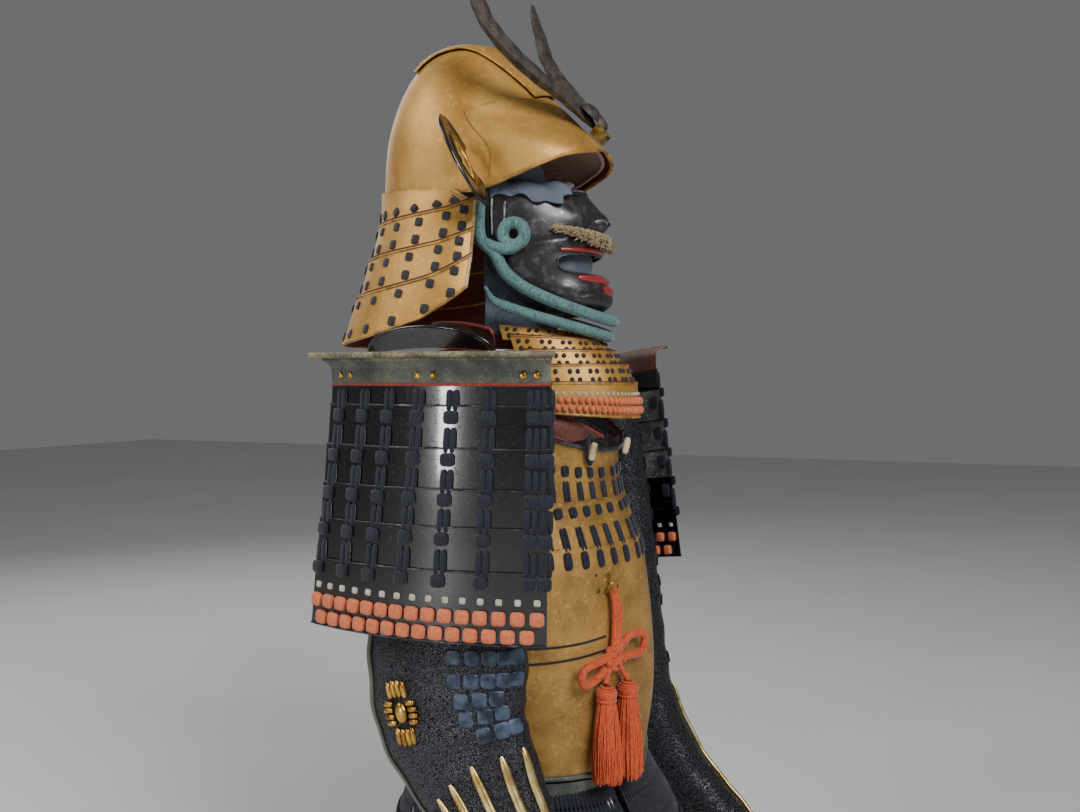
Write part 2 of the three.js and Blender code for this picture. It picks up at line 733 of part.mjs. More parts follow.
// A strap's middle line from the breast to the shoulder blade.
const STRAP = [
  { share: 0, out: 60, y: -97, z: -105, twist: 0.6 },
  { share: 0.2, out: 88, y: -38, z: -70, twist: 1 },
  { share: 0.42, out: 112, y: -12, z: -20, twist: 0.6 },
  { share: 0.6, out: 116, y: 24, z: 2, twist: 0 },
  { share: 0.8, out: 108, y: 80, z: 0, twist: 0 },
  { share: 1, out: 88, y: 127, z: -24, twist: 0 },
];
const strapRow = tracks(STRAP, "share", ["out", "y", "z", "twist"]);
const STRAP_WIDE = 46;

function strap() {
  const surface = (u, v) => {
    const { out, y, z, twist } = strapRow(v);
    const across = (u - 0.5) * STRAP_WIDE;
    return v3(out + across, y + twist * across, z - 0.12 * across);
  };
  return shell({ surface, cols: 2, rows: 12, thick: LEATHER });
}

const WING = { inner: 139, outer: 172, y: 64, halfLong: 84, low: -2, peak: 29 };

function wing() {
  const { inner, outer, y, halfLong, low, peak } = WING;
  const surface = (u, v) => {
    const along = lerp(-1, 1, v);
    const arch = sqrt(max(0, 1 - (0.995 * along) ** 2));
    const spread = lerp(0.35, 1, arch);
    const x = lerp(inner, lerp(inner, outer, spread), u);
    const z = lerp(low + 9 * arch, low + (peak - low) * arch, u);
    return v3(x, y + halfLong * along, z);
  };
  return shell({ surface, cols: 3, rows: 12, thick: LEATHER });
}

const COLLAR = { half: 97, front: 24, back: 124, low: 8, top: 38, lean: 9, ends: 84 };

function collar() {
  const { half, front, back, low, top, lean, ends } = COLLAR;
  const surface = (u, v) => {
    const a = radians(lerp(ends, 360 - ends, u));
    const y = cos(a) > 0 ? -front * cos(a) : -back * cos(a);
    const droop = 16 * pow(abs(2 * u - 1), 6);
    return v3((half + lean * v) * sin(a), y + 8, lerp(low, top - droop, v));
  };
  return shell({ surface, cols: 18, rows: 2, thick: LEATHER });
}

// ---- the ring on the breast, with its bow and tassels

const RING = { turn: -26, depth: 276, radius: 8, thick: 2.6, stand: 5 };
const BOW = { knot: 76, across: -11, stand: 10 };
const TASSEL = { length: 114, radius: 16.5, drop: 108, apart: 34.5 };
const SILK = 6.5;

// A point in front of the belly, sideways and below the ring.
function belowRing(across, drop, stand = BOW.stand) {
  const p = torsoPoint(RING.turn, RING.depth + drop);
  const out = v3(sin(radians(RING.turn)), -cos(radians(RING.turn)), 0);
  const sideways = v3(-out.y, out.x, 0);
  return p.addScaledVector(sideways, across).addScaledVector(out, stand);
}

function breastRing() {
  const ring = new THREE.TorusGeometry(RING.radius, RING.thick / 2, 6, 16);
  ring.rotateX(PI / 2);
  ring.rotateX(radians(-62));
  ring.rotateZ(radians(RING.turn));
  const centre = belowRing(0, 0, RING.stand + RING.radius * 0.7);
  ring.translate(centre.x, centre.y, centre.z);
  return ring;
}

function tasselCord() {
  const { knot, across } = BOW;
  const stem = cord([belowRing(0, 13), belowRing(-2, 45), belowRing(across, knot + 6)], 2.1 * SILK, 6);
  const loop = (side, rise) => {
    const middle = across + side * 4;
    const points = [
      belowRing(middle, knot),
      belowRing(middle + side * 18, knot - 8 + rise, BOW.stand + 4),
      belowRing(middle + side * 40, knot - 4 + rise, BOW.stand + 3),
      belowRing(middle + side * 38, knot + 16 + rise),
      belowRing(middle + side * 16, knot + 12 + rise / 2),
      belowRing(middle, knot + 4),
    ];
    return cord(points, SILK, 16, 6);
  };
  const tail = (side) => {
    const end = across + (side * TASSEL.apart) / 2;
    const points = [
      belowRing(across, knot),
      belowRing(lerp(across, end, 0.6), knot + 18),
      belowRing(end, TASSEL.drop - 3),
    ];
    return cord(points, SILK, 4, 6);
  };
  return joined(stem, loop(-1, 12), loop(1, -10), tail(-1), tail(1));
}

function tassel(side) {
  const { length, radius, apart, drop } = TASSEL;
  // From the foot on the axis round the skirt of threads and the bound head, back to the axis.
  const profile = [
    { r: 0, down: 1 },
    { r: 0.86, down: 1 },
    { r: 1, down: 0.7 },
    { r: 0.88, down: 0.3 },
    { r: 0.66, down: 0.1 },
    { r: 0.74, down: 0.05 },
    { r: 0.35, down: 0 },
    { r: 0, down: 0 },
  ];
  const points = profile.map(({ r, down }) => new THREE.Vector2(r * radius, -down * length));
  const body = new THREE.LatheGeometry(points, 12);
  body.rotateX(PI / 2);
  const head = belowRing(BOW.across + (side * apart) / 2, drop, BOW.stand + 4);
  body.translate(head.x, head.y, head.z);
  return body;
}

// ---- the shoulder guards

const GUARD = {
  top: -39,
  bottom: -309,
  lines: [0, 0.1, 0.267, 0.427, 0.575, 0.745, 1], // each lame's lower edge, as a share of the drop
  edge: 236, // sideways reach of the front and back edges
  camber: 27,
  swing: 6, // how much further out the bottom hangs
};
const GUARD_REACH = { topFront: -127, topBack: 142, bottomFront: -124, bottomBack: 168 };

// A point of a guard: across from its front edge (0) to its back edge (1), down from the top (0).
function guardPoint(across, down, out = 0) {
  const front = lerp(GUARD_REACH.topFront, GUARD_REACH.bottomFront, down);
  const back = lerp(GUARD_REACH.topBack, GUARD_REACH.bottomBack, down);
  const bow = 1 - (2 * across - 1) ** 2;
  const x = GUARD.edge + GUARD.camber * bow + GUARD.swing * down + out;
  return v3(x, lerp(front, back, across), lerp(GUARD.top, GUARD.bottom, down));
}

function guardLame(number) {
  const lap = LAP / (GUARD.top - GUARD.bottom);
  const surface = (u, v) => {
    const bottom = GUARD.lines[number];
    const top = GUARD.lines[number - 1] - (number > 1 ? lap : 0);
    return guardPoint(u, lerp(bottom, top, v), STEP * v);
  };
  return shell({ surface, cols: 12, rows: 1, thick: IRON });
}

// The cap: an upright band that turns out into a flared lip.
const CAP_PROFILE = [
  { share: 0, out: 0, rise: 1 },
  { share: 0.3, out: 1, rise: 12 },
  { share: 0.55, out: 3, rise: 22 },
  { share: 0.8, out: 12, rise: 30 },
  { share: 1, out: 24, rise: 33 },
];
const capRow = tracks(CAP_PROFILE, "share", ["out", "rise"]);

function guardCap() {
  const surface = (u, v) => {
    const { out, rise } = capRow(v);
    const p = guardPoint(u, 0, STEP + out);
    const fan = (out / 24) * 15 * (2 * u - 1);
    return v3(p.x, p.y + fan, p.z + rise);
  };
  return shell({ surface, cols: 14, rows: 5, thick: LEATHER });
}

// ---- the sleeves: sections square to the arm, `lean` is how far the arm points forward there

const SLEEVE = {
  right: [
    { out: 198, y: 4, z: -44, lean: 0, wide: 40, deep: 66 },
    { out: 201, y: 4, z: -150, lean: 0, wide: 41, deep: 80 },
    { out: 203, y: 10, z: -260, lean: 0, wide: 42, deep: 92 },
    { out: 204, y: 13, z: -350, lean: 2, wide: 42, deep: 97 },
    { out: 205, y: 6, z: -415, lean: 14, wide: 42, deep: 90 },
    { out: 206, y: -26, z: -470, lean: 28, wide: 42, deep: 76 },
    { out: 206, y: -75, z: -547, lean: 32, wide: 40, deep: 58 },
    { out: 203, y: -125, z: -625, lean: 33, wide: 36, deep: 42 },
    { out: 200, y: -148, z: -661, lean: 33, wide: 32, deep: 35 },
    { out: 197, y: -190, z: -725, lean: 33, wide: 35, deep: 34 },
  ],
  left: [
    { out: 198, y: 0, z: -44, lean: 0, wide: 40, deep: 66 },
    { out: 201, y: -6, z: -150, lean: 2, wide: 41, deep: 78 },
    { out: 203, y: -12, z: -260, lean: 5, wide: 42, deep: 86 },
    { out: 204, y: -20, z: -350, lean: 8, wide: 42, deep: 88 },
    { out: 205, y: -36, z: -440, lean: 20, wide: 42, deep: 84 },
    { out: 206, y: -72, z: -520, lean: 38, wide: 42, deep: 70 },
    { out: 206, y: -130, z: -596, lean: 52, wide: 40, deep: 56 },
    { out: 203, y: -196, z: -646, lean: 58, wide: 36, deep: 42 },
    { out: 200, y: -232, z: -668, lean: 60, wide: 32, deep: 35 },
    { out: 196, y: -298, z: -704, lean: 62, wide: 35, deep: 34 },
  ],
};
const SLEEVE_COLS = 16;
const CUFF = 8; // the row of the table where the cuff is, past it only the hand guard goes on

function sleeve(name) {
  const rows = SLEEVE[name];
  const spans = rows.length - 1;
  const numbered = rows.map((row, i) => ({ ...row, at: i / spans }));
  const row = tracks(numbered, "at", ["out", "y", "z", "lean", "wide", "deep"]);
  const surface = (u, v) => {
    const { out, y, z, lean, wide, deep } = row(1 - v);
    const a = 2 * PI * u;
    const forward = v3(0, -cos(radians(lean)), sin(radians(lean)));
    return v3(out, y, z)
      .addScaledVector(forward, deep * cos(a))
      .add(v3(wide * sin(a), 0, 0));
  };
  const open = (i, j) => {
    const inHandGuard = j < spans - CUFF;
    const overHand = i >= 1 && i < SLEEVE_COLS / 2 - 1;
    return inHandGuard && !overHand;
  };
  return shell({ surface, cols: SLEEVE_COLS, rows: spans, thick: CLOTH, wrap: true, open });
}

// ---- the tassets that hang from the waist

const SKIRT = [
  { depth: 499, half: 143, front: 141, back: 136 },
  { depth: 580, half: 168, front: 190, back: 170 },
  { depth: 800, half: 200, front: 226, back: 200 },
];
const skirtRow = tracks(SKIRT, "depth", ["half", "front", "back"]);
const TASSETS = 7;
const TASSET_GAP = 3.2; // degrees
const TASSET = { cordTop: 499, top: 576, bottom: 800, lames: 5 };

function skirtPoint(degrees, depth, out) {
  const { half, front, back } = skirtRow(depth);
  const a = radians(degrees);
  const reach = cos(a) > 0 ? front : back;
  return v3((half + out) * sin(a), -(reach + out) * cos(a), -depth);
}

// The lacing that carries a tasset and its lames, as one stepped wall.
function tasset(number) {
  const { cordTop, top, bottom, lames } = TASSET;
  const profile = [{ depth: bottom, out: 0 }];
  for (let k = lames - 1; k >= 0; k--) {
    const line = lerp(top, bottom, k / lames);
    profile.push({ depth: line + 1.5, out: STEP + IRON });
    profile.push({ depth: line, out: k ? 0.4 : -0.6 });
  }
  profile.push({ depth: cordTop, out: 0 });
  const span = profile.length - 1;
  const turn = 360 / TASSETS;
  const from = (number - 1.5) * turn + TASSET_GAP / 2;
  const to = (number - 0.5) * turn - TASSET_GAP / 2;
  const surface = (u, v) => {
    const j = min(Math.floor(v * span), span - 1);
    const t = v * span - j;
    const depth = lerp(profile[j].depth, profile[j + 1].depth, t);
    const out = lerp(profile[j].out, profile[j + 1].out, t);
    return skirtPoint(lerp(from, to, u), depth, out);
  };
  const facing = (u, v) => skirtPoint(lerp(from, to, u), 1, 0).setZ(0).normalize();
  return wallAlong({ surface, facing, cols: 5, rows: span, thick: CLOTH });
}

// A wall whose inner face lies a fixed way behind its outer face, for sharply stepped surfaces.
function wallAlong({ surface, facing, cols, rows, thick }) {
  const points = [];
  const index = [];
  for (const depth of [0, thick])
    for (let j = 0; j <= rows; j++)
      for (let i = 0; i <= cols; i++) {
        const back = facing(i / cols, j / rows).multiplyScalar(-depth);
        points.push(...surface(i / cols, j / rows).add(back).toArray());
      }
  const at = (layer, i, j) => (layer * (rows + 1) + j) * (cols + 1) + i;
  const quad = (a, b, c, d) => index.push(a, b, c, a, c, d);
  for (let j = 0; j < rows; j++)
    for (let i = 0; i < cols; i++) {
      quad(at(0, i, j), at(0, i + 1, j), at(0, i + 1, j + 1), at(0, i, j + 1));
      quad(at(1, i + 1, j + 1), at(1, i + 1, j), at(1, i, j), at(1, i, j + 1));
    }
  for (let j = 0; j < rows; j++) {
    quad(at(0, 0, j), at(0, 0, j + 1), at(1, 0, j + 1), at(1, 0, j));
    quad(at(0, cols, j + 1), at(0, cols, j), at(1, cols, j), at(1, cols, j + 1));
  }
  for (let i = 0; i < cols; i++) {
    quad(at(0, i + 1, 0), at(0, i, 0), at(1, i, 0), at(1, i + 1, 0));
    quad(at(0, i, rows), at(0, i + 1, rows), at(1, i + 1, rows), at(1, i, rows));
  }
  return bareGeometry(points, index);
}

// ---- the armour

function named(name, geometry, material) {
  const mesh = new THREE.Mesh(geometry, material);
  mesh.name = name;
  return mesh;
}

// Helmet, mask and throat guard turn with the head, a little to the wearer's left.
const HEAD = { x: -5.8, y: 29, z: -7.5, turn: 7.5 };

function headGroup() {
  const group = new THREE.Group();
  group.position.set(HEAD.x, HEAD.y, HEAD.z);
  group.rotation.z = radians(HEAD.turn);
  group.add(named("helmet_bowl", helmetBowl(), goldLacquer));
  group.add(named("brow_plate", browPlate(), goldLacquer));
  group.add(named("top_plate", topPlate(), goldLacquer));
  for (let number = 1; number <= NECK.length; number++)
    group.add(named(`neck_guard_${number}`, neckLame(number), goldLacquer));
  for (const { name, side } of SIDES)
    group.add(named(`turn_back_${name}`, onSide(turnBack(), side), blackLacquer));
  group.add(named("crest_holder", crestHolder(), brass));
  group.add(named("crest", crest(), hornBrown));
  group.add(named("helmet_lining", helmetLining(), paleLining));
  group.add(named("head_cloth", headCloth(), slateCloth));
  group.add(named("mask", mask(), darkIron));
  group.add(named("moustache", moustache(), hair));
  group.add(named("chin_cord_upper", chinCordUpper(), tealCord));
  group.add(named("chin_cord_lower", chinCordLower(), tealCord));
  return group;
}

// The throat guard rests on the breast, so it turns less than the head does.
const THROAT_SEAT = { x: 1.5, y: 27.6, z: -7.5, turn: 2 };

function throatGroup() {
  const group = new THREE.Group();
  group.position.set(THROAT_SEAT.x, THROAT_SEAT.y, THROAT_SEAT.z);
  group.rotation.z = radians(THROAT_SEAT.turn);
  for (let number = 1; number <= THROAT_LAMES; number++) {
    const last = number === THROAT_LAMES;
    group.add(named(`throat_${number}`, throatLame(number), last ? orangeBeads : goldLacquer));
  }
  return group;
}

function cuirassGroup() {
  const group = new THREE.Group();
  group.add(named("breast_band", breastBand(), wornGold));
  group.add(named("chest_lame", chestLame(), wornGold));
  group.add(named("belly_plate", bellyPlate(), wornGold));
  group.add(named("back_upper", backUpper(), wornGold));
  group.add(named("back_plate", backPlate(), wornGold));
  group.add(named("collar", collar(), brownLeather));
  for (const { name, side } of SIDES) {
    group.add(named(`strap_${name}`, onSide(strap(), side), brownLeather));
    group.add(named(`wing_${name}`, onSide(wing(), side), blackLacquer));
  }
  group.add(named("breast_ring", breastRing(), brass));
  group.add(named("tassel_cord", tasselCord(), orangeSilk));
  group.add(named("tassel_right", tassel(RIGHT), orangeSilk));
  group.add(named("tassel_left", tassel(LEFT), orangeSilk));
  for (let number = 1; number <= TASSETS; number++)
    group.add(named(`tasset_${number}`, tasset(number), navyLace));
  return group;
}

// The left guard hangs tilted, its top further back than its foot.
const GUARD_HANG = { right: { tilt: 0, back: 0 }, left: { tilt: 8, back: 14 } };
const GUARD_PIVOT = { y: 24, z: -174 };

function guardGroup(name, side) {
  const { tilt, back } = GUARD_HANG[name];
  const group = new THREE.Group();
  group.position.set(0, -GUARD_PIVOT.y, -GUARD_PIVOT.z);
  group.add(named(`guard_cap_${name}`, onSide(guardCap(), side), greyLeather));
  for (let number = 1; number < GUARD.lines.length; number++)
    group.add(named(`guard_${name}_${number}`, onSide(guardLame(number), side), blackLacquer));
  const tilted = new THREE.Group();
  tilted.position.set(0, GUARD_PIVOT.y + back, GUARD_PIVOT.z);
  tilted.rotation.x = -radians(tilt);
  tilted.add(group);
  return tilted;
}

function armGroup(name, side) {
  const group = new THREE.Group();
  group.add(guardGroup(name, side));
  group.add(named(`sleeve_${name}`, onSide(sleeve(name), side), mail));
  return group;
}

const armour = new THREE.Group();
armour.add(headGroup(), throatGroup(), cuirassGroup());
for (const { name, side } of SIDES) armour.add(armGroup(name, side));

export default armour;
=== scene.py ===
# %% [markdown]
# # A samurai armour in its worn form
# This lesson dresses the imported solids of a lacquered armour: gold helmet with a horned crest, face
# mask, throat guard, laced cuirass, shoulder guards, mail sleeves and tassets.

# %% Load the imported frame
import math
import bpy
import numpy as np
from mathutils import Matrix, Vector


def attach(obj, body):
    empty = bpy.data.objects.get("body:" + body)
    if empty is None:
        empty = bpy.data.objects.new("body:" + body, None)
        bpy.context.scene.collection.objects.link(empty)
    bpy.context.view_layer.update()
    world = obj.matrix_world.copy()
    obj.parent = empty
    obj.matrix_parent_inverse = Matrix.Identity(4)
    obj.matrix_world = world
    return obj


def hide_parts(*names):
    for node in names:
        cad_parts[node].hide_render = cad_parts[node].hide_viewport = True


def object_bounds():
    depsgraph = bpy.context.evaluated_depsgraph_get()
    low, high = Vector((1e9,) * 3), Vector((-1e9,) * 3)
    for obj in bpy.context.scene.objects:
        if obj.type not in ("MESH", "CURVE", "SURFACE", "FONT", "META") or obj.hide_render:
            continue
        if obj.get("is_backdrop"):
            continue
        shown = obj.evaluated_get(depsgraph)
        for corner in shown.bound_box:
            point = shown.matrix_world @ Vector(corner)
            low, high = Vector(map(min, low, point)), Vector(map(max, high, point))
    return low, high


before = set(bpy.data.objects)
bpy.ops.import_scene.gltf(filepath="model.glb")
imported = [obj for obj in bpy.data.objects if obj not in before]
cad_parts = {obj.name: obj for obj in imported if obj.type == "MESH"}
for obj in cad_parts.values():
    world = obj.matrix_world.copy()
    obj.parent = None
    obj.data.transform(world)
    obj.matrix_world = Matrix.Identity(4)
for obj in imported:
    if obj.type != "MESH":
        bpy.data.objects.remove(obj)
cad_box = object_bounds()
MOVING = "crest"
BODY = "armour"
MM = 0.001

# %% [markdown]
# ## The camera
# A standing armour is looked at from breast height. A level camera keeps its upright edges upright, so
# the view is lowered with the lens shift and not by tilting.

# %% Camera
camera = bpy.data.objects.new("camera", bpy.data.cameras.new("camera"))
camera.location = (-1.290, -0.572, -0.0275)
camera.rotation_euler = (math.radians(90), 0, math.radians(23.5 - 90))
camera.data.lens = 36.67
camera.data.sensor_width = 36
camera.data.shift_y = -0.0287
camera.data.clip_start = 0.05
bpy.context.collection.objects.link(camera)
bpy.context.scene.camera = camera
print("camera", tuple(round(c, 3) for c in camera.location))

# %% [markdown]
# ## Tables and smooth curves
# The armour's forms are rings and lines that change slowly, so each is a short table of sizes in
# millimetres and a smooth curve through its rows. NumPy looks up a whole grid of points at once.

# %% Tables
def table(columns, *rows):
    return dict(zip(columns.split(), np.array(rows, float).T))


def along(rows, key, column, at):
    """The smooth curve through one column, looked up by a column that only rises."""
    keys, values = rows[key], rows[column]
    at = np.asarray(at, float)
    last = len(keys) - 1
    before, after = np.maximum(np.arange(last + 1) - 1, 0), np.minimum(np.arange(last + 1) + 1, last)
    slope = (values[after] - values[before]) / (keys[after] - keys[before])
    i = np.clip(np.searchsorted(keys, at, "right") - 1, 0, last - 1)
    span = keys[i + 1] - keys[i]
    t = np.clip((at - keys[i]) / span, 0, 1)
    rise = values[i + 1] - values[i]
    m0, m1 = slope[i] * span, slope[i + 1] * span
    return values[i] + t * (m0 + t * (3 * rise - 2 * m0 - m1 + t * (m0 + m1 - 2 * rise)))


def xyz(x, y, z):
    return np.stack(np.broadcast_arrays(np.asarray(x, float), y, z), -1)


def power(value, exponent):
    return np.sign(value) * np.abs(value) ** exponent


def mix(a, b, t):
    return a + (b - a) * t


def unit(vectors):
    return vectors / np.maximum(np.linalg.norm(vectors, axis=-1, keepdims=True), 1e-9)


IRON, CLOTH, LEATHER, GAP, STEP, LAP = 1.6, 2.0, 2.6, 0.5, 2.6, 6.0
RIGHT, LEFT = -1, 1
SIDES = {"right": RIGHT, "left": LEFT}
print("plate", IRON, "mm, cloth", CLOTH, "mm, leather", LEATHER, "mm")

# %% [markdown]
# ## Surfaces
# A plate is a surface: a function from two shares (u across, v up) to points. Its normals come from
# small steps on it, a wall is the surface and a copy moved in, and whatever lies on the plate is placed
# with the same normals, so that laces and rivets follow every curve.

# %% Surface tools
def normals(surface, u, v, wrap=False):
    e = 2e-3
    u0, u1 = (u - e, u + e) if wrap else (np.maximum(u - e, 0), np.minimum(u + e, 1))
    v0, v1 = np.maximum(v - e, 0), np.minimum(v + e, 1)
    return unit(np.cross(surface(u1, v) - surface(u0, v), surface(u, v1) - surface(u, v0)))


def lifted(surface, lift):
    return lambda u, v: surface(u, v) + lift * normals(surface, u, v)


def seated(x, y, z, turn):
    """Points of a turned group, such as the head's, in the armour's own frame."""
    c, s = math.cos(math.radians(turn)), math.sin(math.radians(turn))

    def place(points):
        px, py, pz = points[..., 0], points[..., 1], points[..., 2]
        return xyz(x + c * px - s * py, y + s * px + c * py, z + pz)

    return place


HEAD = seated(-5.8, 29, -7.5, 7.5)
THROAT_SEAT = seated(1.5, 27.6, -7.5, 2)


def on(place, surface):
    return lambda u, v: place(surface(u, v))


def mirrored(surface, side):
    """The surface of the other side: u runs the other way, so that it still faces out."""
    if side == LEFT:
        return surface
    return lambda u, v: surface(1 - u, v) * np.array([-1, 1, 1])


# %% Mesh tools
def piece(name, points, faces, finishes, body=BODY, smooth=40, material_of=None, edge=None):
    mesh = bpy.data.meshes.new(name)
    mesh.from_pydata((np.asarray(points) * MM).tolist(), [], [list(map(int, f)) for f in faces])
    for finish in finishes:
        mesh.materials.append(finish)
    mesh.polygons.foreach_set("use_smooth", [True] * len(mesh.polygons))
    if material_of is not None:
        mesh.polygons.foreach_set("material_index", [int(m) for m in material_of])
    if edge is not None:
        mesh.attributes.new("edge", "FLOAT", "POINT").data.foreach_set("value", np.asarray(edge, float))
    mesh.update()
    if smooth < 180:
        mesh.set_sharp_from_angle(angle=math.radians(smooth))
    made = bpy.data.objects.new(name, mesh)
    bpy.context.collection.objects.link(made)
    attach(made, body)
    return made


def grid_faces(cols, rows, across, wrap):
    i, j = np.meshgrid(np.arange(cols), np.arange(rows))
    i, j = i.ravel(), j.ravel()
    right = (i + 1) % across if wrap else i + 1
    corners = [j * across + i, j * across + right, (j + 1) * across + right, (j + 1) * across + i]
    return np.stack(corners, 1), i, j


def shell(name, surface, cols, rows, thick, finishes, wrap=False, keep=None, body=BODY, smooth=40):
    """A wall: its first finish shows outside, its second inside."""
    across = cols if wrap else cols + 1
    u, v = np.meshgrid(np.arange(across) / cols, np.arange(rows + 1) / rows)
    outer = surface(u, v)
    inner = outer - thick * normals(surface, u, v, wrap)
    low = np.linalg.norm(outer - outer[:1], axis=-1)
    high = np.linalg.norm(outer - outer[-1:], axis=-1)
    edge = np.minimum(low, high).ravel()
    faces, i, j = grid_faces(cols, rows, across, wrap)
    kept = np.ones(len(faces), bool) if keep is None else keep((i + 0.5) / cols, (j + 0.5) / rows)
    faces = faces[kept]
    layer = across * (rows + 1)
    inside = faces[:, ::-1] + layer
    steps = {}
    for f in faces:
        for a, b in zip(f, np.roll(f, -1)):
            steps[(int(a), int(b))] = True
    rim = [(b, a, a + layer, b + layer) for a, b in steps if (b, a) not in steps]
    every = faces.tolist() + inside.tolist() + rim
    material_of = [0] * len(faces) + [min(1, len(finishes) - 1)] * len(inside) + [0] * len(rim)
    points = np.concatenate([outer.reshape(-1, 3), inner.reshape(-1, 3)])
    points, every, order = used_only(points, every)
    return piece(name, points, every, finishes, body, smooth, material_of, np.tile(edge, 2)[order])


def used_only(points, faces):
    used = np.unique(np.concatenate([np.asarray(f) for f in faces]))
    where = np.zeros(len(points), int)
    where[used] = np.arange(len(used))
    return points[used], [[int(where[k]) for k in f] for f in faces], used


def tube_mesh(points, radius, sides=10, closed=False, flat=1.0, upright=None, relief=None):
    """Rings round a smooth line; relief(length, angle) swells them, and flat presses them."""
    points = np.asarray(points, float)
    ahead = np.roll(points, -1, 0) - np.roll(points, 1, 0)
    if not closed:
        ahead[0], ahead[-1] = points[1] - points[0], points[-1] - points[-2]
    ahead = unit(ahead)
    side = np.zeros_like(points)
    guide = np.array([0, 0, 1.0]) if upright is None else np.asarray(upright, float)
    if guide.ndim == 1:
        hint = guide if abs(ahead[0] @ guide) < 0.9 else np.array([1.0, 0, 0])
        side[0] = unit(np.cross(ahead[0], hint))
        for k in range(1, len(points)):
            side[k] = unit(side[k - 1] - ahead[k] * (side[k - 1] @ ahead[k]))
    else:
        side = unit(np.cross(ahead, guide))
    up = np.cross(side, ahead)
    radius = np.broadcast_to(radius, len(points)).astype(float)
    a = np.arange(sides) * 2 * math.pi / sides
    run = np.concatenate([[0], np.cumsum(np.linalg.norm(np.diff(points, axis=0), axis=1))])
    size = radius[:, None] * np.ones(sides)
    if relief:
        size = size * relief(run[:, None], a[None, :])
    rings = points[:, None] + size[..., None] * (
        np.cos(a)[None, :, None] * side[:, None] + flat * np.sin(a)[None, :, None] * up[:, None])
    n = len(points)
    faces = []
    for k in range(n if closed else n - 1):
        for s in range(sides):
            t, m = (s + 1) % sides, (k + 1) % n
            faces.append((k * sides + s, k * sides + t, m * sides + t, m * sides + s))
    if not closed:
        faces.append(tuple(range(sides))[::-1])
        faces.append(tuple((n - 1) * sides + s for s in range(sides)))
    return rings.reshape(-1, 3), faces


def spline(points, count, closed=False):
    """A smooth line through a few points, evenly stepped."""
    p = np.asarray(points, float)
    p = np.vstack([p[-1:], p, p[:2]]) if closed else np.vstack([2 * p[0] - p[1], p, 2 * p[-1] - p[-2]])
    fine = []
    for k in range(1, len(p) - 2):
        t = np.linspace(0, 1, 24, endpoint=False)[:, None]
        a, b, c, d = p[k - 1], p[k], p[k + 1], p[k + 2]
        bend, twist = 2 * a - 5 * b + 4 * c - d, 3 * b - a - 3 * c + d
        fine.append(0.5 * (2 * b + (c - a) * t + bend * t**2 + twist * t**3))
    fine = np.vstack(fine + [p[-2:-1]])
    run = np.concatenate([[0], np.cumsum(np.linalg.norm(np.diff(fine, axis=0), axis=1))])
    at = np.linspace(0, run[-1], count, endpoint=not closed)
    return np.stack([np.interp(at, run, fine[:, k]) for k in range(3)], 1)


def gathered(name, meshes, finishes, body=BODY, smooth=60):
    """Several small closed forms as one piece."""
    points, faces, first = [], [], 0
    for p, f in meshes:
        points.append(p)
        faces += [tuple(k + first for k in face) for face in f]
        first += len(p)
    return piece(name, np.vstack(points), faces, finishes, body, smooth)


def tube(name, points, radius, finish, body=BODY, **shape):
    p, f = tube_mesh(points, radius, **shape)
    return piece(name, p, f, [finish], body, 60)


# %% [markdown]
# Laces, knots and rivets repeat by the hundred. Each is one small form, set down on a plate by a frame
# of three directions: across, up the plate, and off the plate.

# %% Small forms
def ring_quads(sides, rings):
    """The faces between rings of points that all have the same number of sides."""
    return [(k * sides + s, k * sides + (s + 1) % sides,
             (k + 1) * sides + (s + 1) % sides, (k + 1) * sides + s)
            for k in range(rings - 1) for s in range(sides)]


def bar(sides=6):
    """A short length of flat braid, one unit long, wide and thick, resting on the plate."""
    ends = [(-0.5, 0.45), (-0.42, 0.85), (-0.2, 1), (0.2, 1), (0.42, 0.85), (0.5, 0.45)]
    points = [(0.5 * w * math.cos(a), y, 0.5 * w * math.sin(a))
              for y, w in ends for a in np.arange(sides) * 2 * math.pi / sides]
    faces = [quad[::-1] for quad in ring_quads(sides, len(ends))]
    faces += [tuple(range(sides)), tuple((len(ends) - 1) * sides + s for s in range(sides))[::-1]]
    return np.array(points), faces


def crossed():
    """A cross knot: one short length over another, with a raised middle."""
    points, faces, first = [], [], 0
    for turn, rise in ((45, 0.0), (-45, 0.22)):
        p, f = bar()
        c, s = math.cos(math.radians(turn)), math.sin(math.radians(turn))
        p = p * np.array([0.5, 1.2, 0.8])
        lifted_middle = p[:, 2] + rise * (1 - 2 * abs(p[:, 1]))
        p = np.stack([c * p[:, 0] - s * p[:, 1], s * p[:, 0] + c * p[:, 1], lifted_middle], 1)
        points.append(p)
        faces += [tuple(k + first for k in face) for face in f]
        first += len(p)
    return np.vstack(points), faces


def dome(sides=10, rings=3):
    """Half a ball: a rivet's head or a bead."""
    points = []
    for k in range(rings):
        a = k * math.pi / 2 / rings
        points += [(0.5 * math.cos(a) * math.cos(t), 0.5 * math.cos(a) * math.sin(t), 0.5 * math.sin(a))
                   for t in np.arange(sides) * 2 * math.pi / sides]
    points.append((0, 0, 0.5))
    faces = ring_quads(sides, rings)
    top = (rings - 1) * sides
    faces += [(top + s, top + (s + 1) % sides, rings * sides) for s in range(sides)]
    faces.append(tuple(range(sides))[::-1])
    return np.array(points), faces


